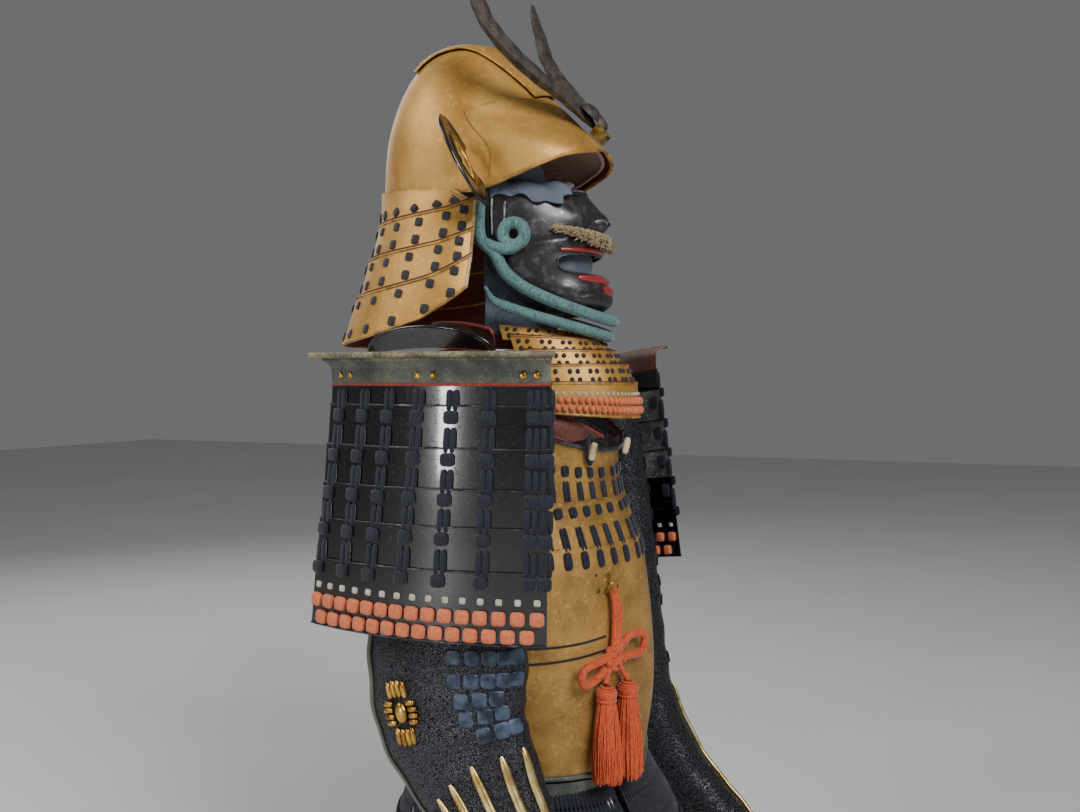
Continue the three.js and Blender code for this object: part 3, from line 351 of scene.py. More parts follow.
def pad(sides=16):
    """A small square cushion: a flat knot of braid."""
    points = []
    levels = ((0.94, 0), (1, 0.16), (0.96, 0.34), (0.78, 0.46), (0.42, 0.5))
    for size, rise in levels:
        for a in (np.arange(sides) + 0.5) * 2 * math.pi / sides:
            points.append((*(0.5 * size * float(power(t, 0.5)) for t in (math.cos(a), math.sin(a))), rise))
    points.append((0, 0, 0.5))
    faces = ring_quads(sides, len(levels))
    top, middle = (len(levels) - 1) * sides, len(levels) * sides
    faces += [(top + s, top + (s + 1) % sides, middle) for s in range(sides)]
    faces.append(tuple(range(sides))[::-1])
    return np.array(points), faces


def frames_at(surface, u, v, lift=0.0):
    u, v = np.broadcast_arrays(np.asarray(u, float), np.asarray(v, float))
    u, v = u.ravel(), v.ravel()
    e = 4e-3
    out = normals(surface, u, v)
    up = unit(surface(u, np.minimum(v + e, 1)) - surface(u, np.maximum(v - e, 0)))
    return surface(u, v) + lift * out, up, out


def scattered(form, origins, ups, outs, wide, tall, thick):
    """Copies of one small form, as points and faces."""
    p, f = form
    n, m = len(origins), len(p)
    sides = np.cross(ups, outs)
    size = [np.broadcast_to(s, n)[:, None, None] for s in (wide, tall, thick)]
    points = origins[:, None] + sum(
        size[k] * p[None, :, k, None] * axis[:, None] for k, axis in enumerate((sides, ups, outs)))
    faces = [tuple(k + c * m for k in face) for c in range(n) for face in f]
    return points.reshape(-1, 3), faces


def bars_between(surface, u0, v0, u1, v1, wide, thick, lift=None):
    """Braid laid straight between pairs of places on a plate."""
    u0, v0, u1, v1 = (np.asarray(a, float).ravel() for a in np.broadcast_arrays(u0, v0, u1, v1))
    a, b = surface(u0, v0), surface(u1, v1)
    out = normals(surface, (u0 + u1) / 2, (v0 + v1) / 2)
    up = unit(b - a)
    out = unit(out - up * np.sum(out * up, -1, keepdims=True))
    middle = (a + b) / 2 + out * (thick * 0.35 if lift is None else lift)
    return scattered(bar(), middle, up, out, wide, np.linalg.norm(b - a, axis=-1), thick)


print("bar", len(bar()[1]), "faces, knot", len(crossed()[1]), "faces, rivet", len(dome()[1]), "faces")

# %% [markdown]
# ## Shader maths as Python
# A finish is a short list of sums on noise. One class wraps a socket and lets + - * and / add the Math
# nodes, and one method makes every other node.

# %% Shader maths
class Value:
    """An output socket that can be added, scaled and compared."""

    def __init__(self, finish, socket):
        self.finish, self.socket = finish, socket

    def maths(self, operation, other=0.0, swapped=False, clamp=False):
        pair = (other, self) if swapped else (self, other)
        settings = {"operation": operation, "use_clamp": clamp}
        return self.finish.node("ShaderNodeMath", settings, {0: pair[0], 1: pair[1]})

    def __add__(self, other): return self.maths("ADD", other)
    def __radd__(self, other): return self.maths("ADD", other, True)
    def __sub__(self, other): return self.maths("SUBTRACT", other)
    def __rsub__(self, other): return self.maths("SUBTRACT", other, True)
    def __mul__(self, other): return self.maths("MULTIPLY", other)
    def __rmul__(self, other): return self.maths("MULTIPLY", other, True)
    def __truediv__(self, other): return self.maths("DIVIDE", other)
    def __pow__(self, other): return self.maths("POWER", other)

    def step(self, low, high):
        """0 below low, 1 above high, smooth between."""
        sockets = {"Value": self, "From Min": low, "From Max": high}
        return self.finish.node("ShaderNodeMapRange", {"interpolation_type": "SMOOTHSTEP"}, sockets)


class Finish:
    """A material, with its constant values set straight on the shader's sockets."""

    def __init__(self, name, **constants):
        self.material = bpy.data.materials.new(name)
        self.material.use_nodes = True
        self.tree = self.material.node_tree
        self.shader = self.tree.nodes["Principled BSDF"]
        for key, value in constants.items():
            self.shader.inputs[key.replace("_", " ").title().replace("Ior", "IOR")].default_value = value
        self.place = self.node("ShaderNodeTexCoord", {}, {}, 3)

    def node(self, kind, settings, sockets, output=0):
        made = self.tree.nodes.new(kind)
        for key, value in settings.items():
            setattr(made, key, value)
        for key, value in sockets.items():
            if isinstance(value, Value):
                self.tree.links.new(value.socket, made.inputs[key])
            else:
                made.inputs[key].default_value = value
        return Value(self, made.outputs[output])

    def stretched(self, x, y, z):
        return self.node("ShaderNodeMapping", {}, {"Vector": self.place, "Scale": (x, y, z)})

    def noise(self, scale, detail=3.0, rough=0.5, vector=None):
        sockets = {"Vector": vector or self.place, "Scale": scale, "Detail": detail, "Roughness": rough}
        return self.node("ShaderNodeTexNoise", {}, sockets)

    def cells(self, scale, vector=None, settings=None, output=0):
        sockets = {"Vector": vector or self.place, "Scale": scale}
        return self.node("ShaderNodeTexVoronoi", settings or {}, sockets, output)

    def attribute(self, name):
        return self.node("ShaderNodeAttribute", {"attribute_name": name}, {}, 2)

    def blend(self, a, b, share):
        return self.node("ShaderNodeMix", {"data_type": "RGBA"}, {0: share, 6: a, 7: b}, 2)

    def set(self, key, value):
        self.tree.links.new(value.socket, self.shader.inputs[key])

    def relief(self, height, distance, strength=1.0):
        sockets = {"Height": height, "Distance": distance * MM, "Strength": strength}
        self.set("Normal", self.node("ShaderNodeBump", {}, sockets))


def rgb(red, green, blue):
    """A colour from the 0 to 255 scale that paint charts use."""
    linear = [c / 255 / 12.92 if c <= 10 else ((c / 255 + 0.055) / 1.055) ** 2.4 for c in (red, green, blue)]
    return (*linear, 1.0)


print("gold as light", [round(c, 3) for c in rgb(190, 140, 62)])

# %% [markdown]
# ## Gold lacquer
# The plates are iron under lacquer and gold leaf. Leaf is a little uneven, so its colour drifts slowly,
# fine specks show the lacquer, and the lower edges of the plates are rubbed to a duller brown. Inside,
# the same plates have plain red-brown lacquer.

# %% Gold finishes
def gold_lacquer(name, light, dark, metal, rough, specks):
    f = Finish(name, specular_ior_level=0.5)
    clouds = f.noise(14, 4, 0.6)
    fine = f.noise(160, 3, 0.65)
    worn = (1 - f.attribute("edge") / 5.0).maths("MAXIMUM", 0.0) * f.noise(60, 3).step(0.42, 0.6)
    spots = f.noise(330, 2, 0.6).step(0.66 - specks, 0.72 - specks) * f.noise(30, 3).step(0.42, 0.62)
    colour = f.blend(dark, light, clouds.step(0.3, 0.68))
    colour = f.blend(colour, rgb(226, 190, 118), fine.step(0.52, 0.72) * 0.4)
    colour = f.blend(colour, rgb(82, 54, 26), (worn * 0.55 + spots * 0.6).maths("MINIMUM", 1.0))
    f.set("Base Color", colour)
    f.set("Metallic", metal - spots * 0.4)
    f.set("Roughness", rough + clouds * 0.14 + spots * 0.25)
    f.relief(clouds * 0.6 + fine * 0.25 - spots * 0.3, 0.5, 0.5)
    return f.material


GOLD = gold_lacquer("gold_lacquer", rgb(206, 158, 80), rgb(178, 128, 56), 0.45, 0.4, -0.05)
WORN_GOLD = gold_lacquer("worn_gold", rgb(190, 146, 76), rgb(136, 100, 48), 0.4, 0.42, 0.07)


def red_lacquer():
    f = Finish("red_lacquer")
    clouds = f.noise(20, 4)
    f.set("Base Color", f.blend(rgb(70, 22, 20), rgb(98, 40, 30), clouds))
    f.set("Roughness", 0.3 + clouds * 0.25)
    f.relief(f.noise(120, 3), 0.3, 0.4)
    return f.material


def metal(name, light, dark, rough, metallic=1.0, scale=90):
    f = Finish(name, metallic=metallic)
    clouds = f.noise(scale, 4, 0.6)
    f.set("Base Color", f.blend(dark, light, clouds.step(0.35, 0.62)))
    f.set("Roughness", rough + clouds * 0.2)
    f.relief(clouds, 0.2, 0.4)
    return f.material


RED_LACQUER = red_lacquer()
GILT = metal("gilt", rgb(214, 172, 92), rgb(150, 104, 44), 0.22)
SILVER = metal("silver", rgb(196, 198, 200), rgb(120, 120, 126), 0.22)
print("finishes:", GOLD.name, WORN_GOLD.name, RED_LACQUER.name)

# %% [markdown]
# ## Black lacquer
# Many thin coats, polished: nearly black, with long soft highlights. A slow, shallow bump keeps the
# highlights from looking like glass, and dust makes them a little grey in places.

# %% Black lacquer and dark iron
def black_lacquer():
    f = Finish("black_lacquer", coat_roughness=0.08)
    clouds = f.noise(22, 4, 0.55)
    dust = f.noise(260, 3, 0.7).step(0.52, 0.75)
    f.set("Base Color", f.blend(rgb(9, 9, 12), rgb(34, 35, 40), dust * clouds))
    f.set("Coat Weight", 0.8 - dust * 0.5)
    f.set("Roughness", 0.2 + dust * 0.22 + clouds * 0.08)
    f.relief(clouds + dust * 0.15, 0.6, 0.35)
    return f.material


def dark_iron():
    f = Finish("dark_iron", specular_ior_level=0.7)
    clouds = f.noise(26, 5, 0.6)
    rubbed = f.noise(70, 4, 0.7).step(0.5, 0.7)
    f.set("Base Color", f.blend(rgb(46, 43, 47), rgb(116, 113, 118), rubbed * 0.8))
    f.set("Metallic", 0.35 + rubbed * 0.4)
    f.set("Roughness", 0.22 + clouds * 0.2)
    f.relief(clouds + rubbed * 0.2, 0.8, 0.5)
    return f.material


BLACK = black_lacquer()
DARK_IRON = dark_iron()
print("finishes:", BLACK.name, DARK_IRON.name)

# %% [markdown]
# ## Silk, cotton, hemp and hair
# Braid is silk laid in crossing strands. At this size the strands are a fine crossed relief, and the
# sheen of silk is a broad highlight. One function makes every braid, and only its colours differ.

# %% Cloth finishes
def silk(name, light, dark, rough=0.5, scale=520, depth=0.35):
    f = Finish(name, sheen_weight=0.35, sheen_roughness=0.4)
    strands = f.cells(scale, f.stretched(1, 1, 0.45))
    drift = f.noise(45, 3)
    # Each strand is painted darker towards its edges, where the bump sinks: painted shade in the grooves between
    # strands.
    f.set("Base Color", f.blend(light, dark, (strands * 0.9 + drift * 0.5 - 0.2).maths("MAXIMUM", 0.0)))
    f.set("Roughness", rough + strands * 0.25)
    f.relief(1 - strands, depth, 0.8)
    return f.material


def woven(name, light, dark, threads, depth=0.3, rough=0.85):
    f = Finish(name, sheen_weight=0.2)
    waves = []
    for direction, turn in (("Z", 0.0), ("DIAGONAL", 0.0)):
        settings = {"wave_type": "BANDS", "bands_direction": "Z" if direction == "Z" else "X"}
        waves.append(f.node("ShaderNodeTexWave", settings,
                            {"Vector": f.place, "Scale": threads, "Distortion": 1.5, "Detail": 1.0}, 1))
    weave = waves[0] * 0.5 + waves[1] * 0.5
    drift = f.noise(25, 4)
    # The troughs of the weave, where the bump sinks, are painted darker: painted shade between the threads.
    f.set("Base Color", f.blend(dark, light, (weave * 0.5 + drift * 0.7 - 0.1).maths("MINIMUM", 1.0)))
    f.set("Roughness", rough + drift * 0.1)
    f.relief(weave + drift, depth, 0.7)
    return f.material


def leather(name, light, dark, grain, depth, rough, specks=None):
    f = Finish(name)
    pebbles = f.cells(grain)
    drift = f.noise(30, 4)
    colour = f.blend(dark, light, drift.step(0.3, 0.7))
    if specks is not None:
        flecks = f.cells(grain * 0.8).step(0.28, 0.1) * f.noise(90, 2).step(0.45, 0.55)
        colour = f.blend(colour, specks, flecks)
    # The crevices between the pebbles of the grain, where the bump sinks, are painted darker: painted shade.
    f.set("Base Color", f.blend(colour, dark, pebbles.step(0.45, 0.8) * 0.6))
    f.set("Roughness", rough + pebbles * 0.2)
    f.relief(1 - pebbles + drift * 0.5, depth, 0.8)
    return f.material


TEAL = silk("teal_braid", rgb(108, 148, 144), rgb(52, 86, 86), 0.65)
NAVY = silk("navy_lacing", rgb(23, 26, 46), rgb(8, 9, 19), 0.65)
DARK_LACE = silk("dark_lacing", rgb(50, 46, 52), rgb(20, 18, 24), 0.65)
SALMON = silk("salmon_silk", rgb(230, 130, 86), rgb(180, 84, 50), 0.6)
PALE_SILK = silk("pale_silk", rgb(214, 208, 190), rgb(140, 134, 118), 0.6)
ORANGE = silk("orange_silk", rgb(228, 100, 48), rgb(166, 50, 20), 0.6)
PIPING = silk("red_piping", rgb(176, 62, 40), rgb(110, 30, 22), 0.6)
SLATE = woven("slate_cloth", rgb(120, 128, 142), rgb(64, 72, 86), 210)
HEMP = woven("beige_lining", rgb(196, 160, 138), rgb(128, 92, 76), 170, 0.5)
HAIR = silk("hair", rgb(192, 170, 126), rgb(112, 90, 54), 0.6, 400)
PEBBLED = leather("pebbled_leather", rgb(112, 62, 48), rgb(58, 32, 26), 420, 0.6, 0.45)
FRAYED = leather("frayed_edge", rgb(214, 188, 138), rgb(140, 108, 66), 260, 0.8, 0.7)
BROCADE = leather("brocade", rgb(120, 122, 118), rgb(60, 62, 62), 260, 0.3, 0.4, rgb(190, 188, 176))
PRINTED = leather("printed_leather", rgb(110, 114, 102), rgb(60, 66, 62), 700, 0.25, 0.5, rgb(186, 174, 124))
LIP = leather("lip_leather", rgb(150, 138, 108), rgb(70, 62, 48), 300, 0.9, 0.55, rgb(196, 184, 130))
TRIM = woven("grey_trim", rgb(104, 106, 92), rgb(66, 68, 60), 300, 0.2, 0.7)
print("cloth and leather finishes made")

# %% [markdown]
# ## The helmet
# The bowl is a stack of rings that reach forward, back and sideways from the head's own axis. A brow
# plate laps over its front and runs out as a small peak, and a third plate runs over the crown. The real
# plates end in a rolled edge, so each rim gets a fine roll.

# %% Helmet bowl
BOWL = table("z front back half brow flare",
             (196, 126, 166, 104, 2.6, 9), (250, 130, 164, 104, 2.6, 9), (290, 95, 158, 99, 1.7, 0),
             (339, 47, 140, 84, 1.6, 0), (375, 11, 115, 64, 1.6, 0), (392, -8, 88, 42, 1.6, 0),
             (398, -32, 56, 14, 1.6, 0))
BRIM = table("turn z", (0, 262), (16, 253), (46, 241), (62, 229), (80, 210), (90, 201), (135, 206),
             (180, 214))
CROWN = 398


def turn_of(degrees):
    turned = np.abs(np.asarray(degrees, float))
    return np.where(turned > 180, 360 - turned, turned)


def bowl_point(degrees, z, grow=0.0):
    front, back, half, brow, flare = (along(BOWL, "z", c, z)
                                      for c in ("front", "back", "half", "brow", "flare"))
    a = np.radians(degrees)
    roundness = np.where(np.cos(a) > 0, brow, 2.1)
    x = (half + grow) * power(np.sin(a), 2 / roundness) + flare * np.maximum(0, 2 * np.cos(a)) * np.sin(a)
    y = (back - front) / 2 - ((back + front) / 2 + grow) * power(np.cos(a), 2 / roundness)
    return xyz(x, y, z)


def bowl_surface(start, end, low, high):
    def surface(u, v):
        degrees = mix(start, end, u)
        brim = along(BRIM, "turn", "z", turn_of(degrees))
        return bowl_point(degrees, mix(brim, CROWN, np.sin(mix(low, high, v) * math.pi / 2)))
    return surface


def rolled(name, line, radius, finish, sides=8):
    return tube(name, line, radius, finish, sides=sides)


bowl = bowl_surface(-180, 180, 0, 0.985)
helmet = shell("helmet_bowl_skin", on(HEAD, bowl), 144, 36, IRON, [GOLD, RED_LACQUER], wrap=True)
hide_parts("helmet_bowl")

BROW_TURN, BROW_HIGH = 84, 0.985 / 3
brow_face = on(HEAD, lifted(bowl_surface(-BROW_TURN, BROW_TURN, 0, BROW_HIGH), IRON + GAP))
brow = shell("brow_plate_skin", brow_face, 84, 16, IRON, [GOLD, RED_LACQUER])
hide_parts("brow_plate")
edge_u = np.linspace(0, 1, 90)
rolled("brow_roll", brow_face(edge_u, 0 * edge_u) - np.array([0, 0, 0.6]), 2.0, GOLD)
nape_turn = np.linspace(BROW_TURN, 360 - BROW_TURN, 70)
nape_z = along(BRIM, "turn", "z", turn_of(nape_turn))
rolled("nape_roll", HEAD(bowl_point(nape_turn, nape_z, -0.4)), 1.6, GOLD)

# %% Top plate
def bowl_along(eye, direction):
    near, far = np.full(direction.shape[:-1], 20.0), np.full(direction.shape[:-1], 400.0)
    for _ in range(34):
        middle = (near + far) / 2
        p = eye + middle[..., None] * direction
        level = np.minimum(p[..., 2], CROWN)
        front, back, half, brow = (along(BOWL, "z", c, level) for c in ("front", "back", "half", "brow"))
        centre, reach = (back - front) / 2, (back + front) / 2
        roundness = np.where(p[..., 1] < centre, brow, 2.1)
        size = np.abs(p[..., 0] / half) ** roundness + np.abs((p[..., 1] - centre) / reach) ** roundness
        out = (p[..., 2] > CROWN) | (size > 1)
        near, far = np.where(out, near, middle), np.where(out, middle, far)
    return eye + near[..., None] * direction


def top_face(u, v):
    across, pitch = np.radians(mix(-22, 22, u)), np.radians(mix(40, 128, v))
    direction = xyz(np.sin(across), -np.cos(across) * np.cos(pitch), np.cos(across) * np.sin(pitch))
    return bowl_along(np.array([0, 30, 262.0]), direction) + (2 * (IRON + GAP) + 1) * direction


rim = np.concatenate([np.linspace(0, 1, 40), np.ones(40), np.linspace(1, 0, 40), np.zeros(40)])
rim_v = np.concatenate([np.zeros(40), np.linspace(0, 1, 40), np.ones(40), np.linspace(1, 0, 40)])
rolled("top_roll", on(HEAD, top_face)(rim, rim_v) - 1.0 * normals(on(HEAD, top_face), rim, rim_v), 1.3, GOLD)
top = shell("top_plate_skin", on(HEAD, top_face), 28, 60, IRON, [GOLD, RED_LACQUER])
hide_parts("top_plate")
rivet_v = np.array([0.1, 0.3, 0.52, 0.74, 0.94])
rivets = [scattered(dome(), *frames_at(on(HEAD, top_face), side, rivet_v), 5, 5, 3) for side in (0.08, 0.92)]
gathered("top_rivets", rivets, [GOLD])
print("top plate rivets", 2 * len(rivet_v))

# %% [markdown]
# ## The neck guard and the turn-backs
# Four curved lames hang below the bowl, each laced outside the one above. Each lame ends in a rough,
# pale worn edge at the front. The lacing is sparse: short pairs of dark braid. The top lame ends in two
# upright oval plates that turn blows away from the face.

# %% Neck guard
NECK = table("line half centre back fore nape cheek",
             (1, 119, 40, 169, 66, 162, 186), (2, 130, 46, 182, 80, 118, 148),
             (3, 141, 52, 198, 94, 70, 116), (4, 152, 60, 219, 108, 18, 85))


def neck_line(line, u, grow=0.0, rise=0.0):
    if line == 0:
        degrees = mix(97, 263, u)
        z = along(BRIM, "turn", "z", turn_of(degrees)) + rise
        ring = bowl_point(degrees, np.maximum(z, 196), grow + STEP + IRON)
        return xyz(ring[..., 0], ring[..., 1], z)
    half, centre, back, fore, nape, cheek = (NECK[c][line - 1]
                                             for c in "half centre back fore nape cheek".split())
    a = np.radians(mix(62, 298, u))
    reach = np.where(np.cos(a) > 0, fore, back - centre)
    z = mix(nape, cheek, np.abs(2 * u - 1) ** 3) + rise
    return xyz((half + grow) * np.sin(a), centre - (reach + grow) * np.cos(a), z)


def neck_face(number):
    def surface(u, v):
        low = neck_line(number, u)
        high = neck_line(number - 1, u, STEP if number > 1 else 0, LAP if number > 1 else 4)
        return mix(low, high, np.asarray(v)[..., None])
    return on(HEAD, surface)


laces = []
for number in range(1, 5):
    face = neck_face(number)
    lame = shell(f"neck_lame_{number}", face, 96, 8, IRON, [GOLD, RED_LACQUER])
    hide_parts(f"neck_guard_{number}")
    rim = face(edge_u, 0 * edge_u)
    rolled(f"neck_roll_{number}", rim, 2.1, GOLD, 8)
    if number > 1:
        seam, off = face(edge_u, 1 + 0 * edge_u), normals(face, edge_u, 1 + 0 * edge_u)
        rolled(f"neck_seam_{number}", seam, 1.7, GOLD, 8)
        # A dark red cord just above each seam is painted shadow under the lame above.
        rolled(f"neck_painted_shadow_{number}", seam - 0.4 * off + np.array([0, 0, 2.6]), 1.2, RED_LACQUER, 6)
    columns = np.linspace(0.045, 0.955, 14)
    laces.append(scattered(pad(), *frames_at(face, columns, 0.18 if number == 4 else 0.36, 0.0), 10.5, 12, 5))
    if number > 1:
        laces.append(scattered(pad(), *frames_at(face, columns, 0.8, 0.0), 10.5, 11, 5))
    for end in (0.004, 0.996):
        worn = face(np.full(24, end), np.linspace(0.02, 0.94, 24))
        tube(f"neck_end_{number}_{int(end + 0.5)}", worn, 2.0, FRAYED, sides=8,
             relief=lambda run, a: 1 + 0.3 * np.sin(run * 1.7) * np.cos(2 * a))
neck_laces = gathered("neck_lacing", laces, [DARK_LACE])
ends = [scattered(dome(), *frames_at(neck_face(1), [0.035, 0.965], 0.55), 7, 7, 4)]
gathered("neck_rivets", ends, [GILT])
print("neck lames 4, lacing knots", 7 * 14)


# %% Turn-backs
def turn_back(name, side):
    wide, tall, lean, inner, y0, z0 = 72, 118, 27, 110, 11, 231
    middle = wide / 2 - 3
    start = math.acos(-middle / (wide / 2))

    def stood(x, up, off):
        c, s = math.cos(math.radians(90 - lean)), math.sin(math.radians(90 - lean))
        return HEAD(xyz(side * (inner + x), y0 + c * up - s * off, z0 + s * up + c * off))

    a = np.linspace(-start, start, 56)
    outline = np.stack([middle + wide / 2 * np.cos(a), tall / 2 * np.sin(a)], 1)
    b = np.linspace(-start, start, 56) * math.pi / start
    slot = np.stack([middle + 2 + 13 * np.cos(b), 30 * np.sin(b)], 1)
    rings = []
    for share, rise in ((0, 0), (0.12, 1.2), (0.2, 1.3), (0.24, 0.2), (0.8, 0.2), (0.86, 1.4), (1, 0.4)):
        flat = outline + (slot - outline) * share
        rings.append(stood(flat[:, 0], flat[:, 1], rise + 0.6))
    back = [stood(*(outline + (slot - outline) * s).T, -1.8) for s in (1, 0)]
    loops = rings + back
    n, faces, paint = len(a), [], []
    for k in range(len(loops)):
        m = (k + 1) % len(loops)
        for i in range(n - 1):
            quad = (k * n + i, k * n + i + 1, m * n + i + 1, m * n + i)
            faces.append(quad if side == LEFT else quad[::-1])
            paint.append(1 if k >= 5 and k < 7 else 0)
    made = piece(f"turn_back_plate_{name}", np.vstack(loops), faces, [BLACK, GILT], smooth=50,
                 material_of=paint)
    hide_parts(f"turn_back_{name}")
    tube(f"turn_back_rim_{name}", stood(outline[:, 0], outline[:, 1], 0.0), 2.0, BLACK, sides=8)
    tube(f"turn_back_slot_{name}", stood(slot[:, 0], slot[:, 1], 0.6), 1.6, GILT, sides=8)


for name, side in SIDES.items():
    turn_back(name, side)
print("turn-backs: 2")

# %% [markdown]
# ## The crest
# A pair of broad horns carved in wood, thick in the middle of each arm and flat at the tips, with ridges
# that run with the growth of a horn. It has a tang that slides down into a gilt holder on the brow, so it
# rides on a body of its own.

# %% Crest
def horn_wood():
    f = Finish("horn_wood")
    grain = f.noise(70, 5, 0.65, f.stretched(1, 1, 0.4))
    pits = f.noise(190, 3, 0.6)
    colour = f.blend(rgb(36, 31, 29), rgb(82, 70, 62), grain.step(0.35, 0.66))
    f.set("Base Color", f.blend(colour, rgb(140, 124, 102), pits.step(0.6, 0.8) * 0.35))
    f.set("Roughness", 0.5 + pits * 0.2)
    f.relief(grain + pits * 0.4, 1.1, 0.7)
    return f.material


WOOD = horn_wood()
HORN = table("share out y z wide thick",
             (0, 0, -101, 305, 40, 10), (0.22, 48, -82, 328, 32, 14), (0.38, 83, -62, 347, 28, 17),
             (0.53, 110, -36, 375, 28, 18), (0.67, 127, -17, 403, 34, 17), (0.8, 137, -7, 431, 40, 15),
             (0.91, 146, 2, 458, 38, 11), (1, 153, 9, 484, 8, 5))
CREST_ROLL = 6


def rolled_crest(points):
    c, s = math.cos(math.radians(-CREST_ROLL)), math.sin(math.radians(-CREST_ROLL))
    x, y, z = points[..., 0], points[..., 1], points[..., 2] - 305
    return HEAD(xyz(c * x + s * z, y, 305 - s * x + c * z))


def horn_line(share):
    out, y, z = (along(HORN, "share", c, np.abs(share)) for c in ("out", "y", "z"))
    return xyz(np.sign(share) * out, y, z)


def horn_face(u, v):
    share, step = mix(-1, 1, u), 0.02
    ahead = unit(horn_line(np.minimum(share + step, 1)) - horn_line(np.maximum(share - step, -1)))
    high, low = np.minimum(np.abs(share) + step, 1), np.maximum(np.abs(share) - step, 0)
    dy = along(HORN, "share", "y", high) - along(HORN, "share", "y", low)
    dz = along(HORN, "share", "z", high) - along(HORN, "share", "z", low)
    face = unit(xyz(0 * dy, -dz - step, dy + step))
    up = unit(np.cross(face, ahead))
    wide, thick = along(HORN, "share", "wide", np.abs(share)), along(HORN, "share", "thick", np.abs(share))
    a = 2 * math.pi * v
    along_the_arm = 0.05 * np.sin(9 * a + 5 * share) * np.minimum(1, 4 * np.abs(share))
    ridges = 1 + along_the_arm + 0.035 * np.sin(60 * share + 2 * np.sin(a))
    edge = (wide / 2 * ridges * np.cos(a))[..., None] * up
    return horn_line(share) + edge + (thick / 2 * ridges * np.sin(a))[..., None] * face


cols, rows = 180, 40
u, v = np.meshgrid(np.linspace(0, 1, cols + 1), np.arange(rows) / rows)
points = rolled_crest(horn_face(u.T, v.T)).reshape(-1, 3)
faces = [(i * rows + k, i * rows + (k + 1) % rows, (i + 1) * rows + (k + 1) % rows, (i + 1) * rows + k)
         for i in range(cols) for k in range(rows)]
faces += [tuple(range(rows))[::-1], tuple(cols * rows + k for k in range(rows))]
horns = piece("crest_horns", points, faces, [WOOD], body=MOVING, smooth=70)
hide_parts("crest")


def on_brow(x, rise, off):
    """A place on the brow's slope: sideways, up the slope, and off it."""
    s, c = math.sin(math.radians(45)), math.cos(math.radians(45))
    return HEAD(xyz(x, -134 + s * rise - c * off, 250 + c * rise + s * off))


def slab(wide, low, high, near, far):
    corners = [(-1, low, near), (1, low, near), (1, low, far), (-1, low, far),
               (-1, high, near), (1, high, near), (1, high, far), (-1, high, far)]
    points = np.array([on_brow(sx * wide / 2, rise, off) for sx, rise, off in corners])
    faces = [(0, 1, 2, 3), (7, 6, 5, 4), (0, 4, 5, 1), (1, 5, 6, 2), (2, 6, 7, 3), (3, 7, 4, 0)]
    return points, faces


gathered("crest_tang", [slab(16, 24.5, 58.5, 14.8, 17.2)], [BLACK], body=MOVING)
boss_u = on_brow(0, 62, 26)
boss, lobe = dome(16, 6), dome(14, 5)
out = unit(on_brow(0, 62, 36) - on_brow(0, 62, 26))[None]
up = unit(on_brow(0, 72, 26) - on_brow(0, 62, 26))[None]
side = np.cross(up, out)
bosses = [scattered(boss, boss_u[None] - 4 * out, up, out, 30, 34, 22)]
for k in (-1, 1):
    bosses.append(scattered(lobe, boss_u[None] + side * 20 * k - up * 6 - 5 * out, up, out, 26, 32, 20))
bosses.append(scattered(lobe, boss_u[None] - up * 18 - 5 * out, up, out, 28, 26, 18))
gathered("crest_bosses", bosses, [WOOD], body=MOVING)
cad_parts["crest_holder"].data.materials.clear()
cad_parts["crest_holder"].data.materials.append(GILT)

# %% [markdown]
# ## Lining and head cloth
# The bowl has a quilted hemp lining that stands a little off the iron, with a rough turned edge that
# shows under the brim. A slate-blue cloth is wound under the helmet, folds over the top of the mask, and
# shows through the mouth and at the neck. Both are sheets, and the size each was cut to is worked out and printed.

# %% Lining and head cloth
def cut_of(surface, n=60):
    """Width, length and area of a sheet before it was bent, in metres."""
    u, v = np.meshgrid(np.linspace(0, 1, n), np.linspace(0, 1, n))
    p = surface(u, v) * MM
    across = np.linalg.norm(np.diff(p, axis=1), axis=-1)
    up = np.linalg.norm(np.diff(p, axis=0), axis=-1)
    area = float(np.sum((across[:-1] + across[1:]) / 2 * (up[:, :-1] + up[:, 1:]) / 2))
    return float(across.sum(1).max()), float(up.sum(0).max()), area


def lining_face(u, v):
    degrees = mix(-180, 180, u)
    brim = along(BRIM, "turn", "z", turn_of(degrees)) + 5
    quilt = 0.9 * np.abs(np.sin(np.pi * 24 * u)) * np.abs(np.sin(np.pi * 7 * v))
    return bowl_point(degrees, mix(brim, CROWN - 14, np.sin(v * 0.8 * math.pi / 2)), quilt - IRON - 5.6)


lining = shell("bowl_lining", on(HEAD, lining_face), 90, 20, CLOTH, [HEMP, HEMP], wrap=True, smooth=70)
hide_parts("helmet_lining")
turns = np.linspace(-180, 180, 150, endpoint=False)
lining_edge = HEAD(bowl_point(turns, along(BRIM, "turn", "z", turn_of(turns)) + 5, -IRON - 6.4))
hem = tube("lining_hem", lining_edge, 2.6, HEMP, sides=8, closed=True,
           relief=lambda run, a: 1 + 0.12 * np.sin(run * 1.3) * np.cos(2 * a))
width, length, area = cut_of(on(HEAD, lining_face))
print("lining cut", round(width, 2), "x", round(length, 2), "m")

HOOD = table("z front half", (30, 62, 66), (60, 72, 68), (75, 92, 66), (100, 104, 73), (117, 107, 75),
             (134, 103, 74), (170, 84, 70), (212, 80, 73), (238, 80, 73))


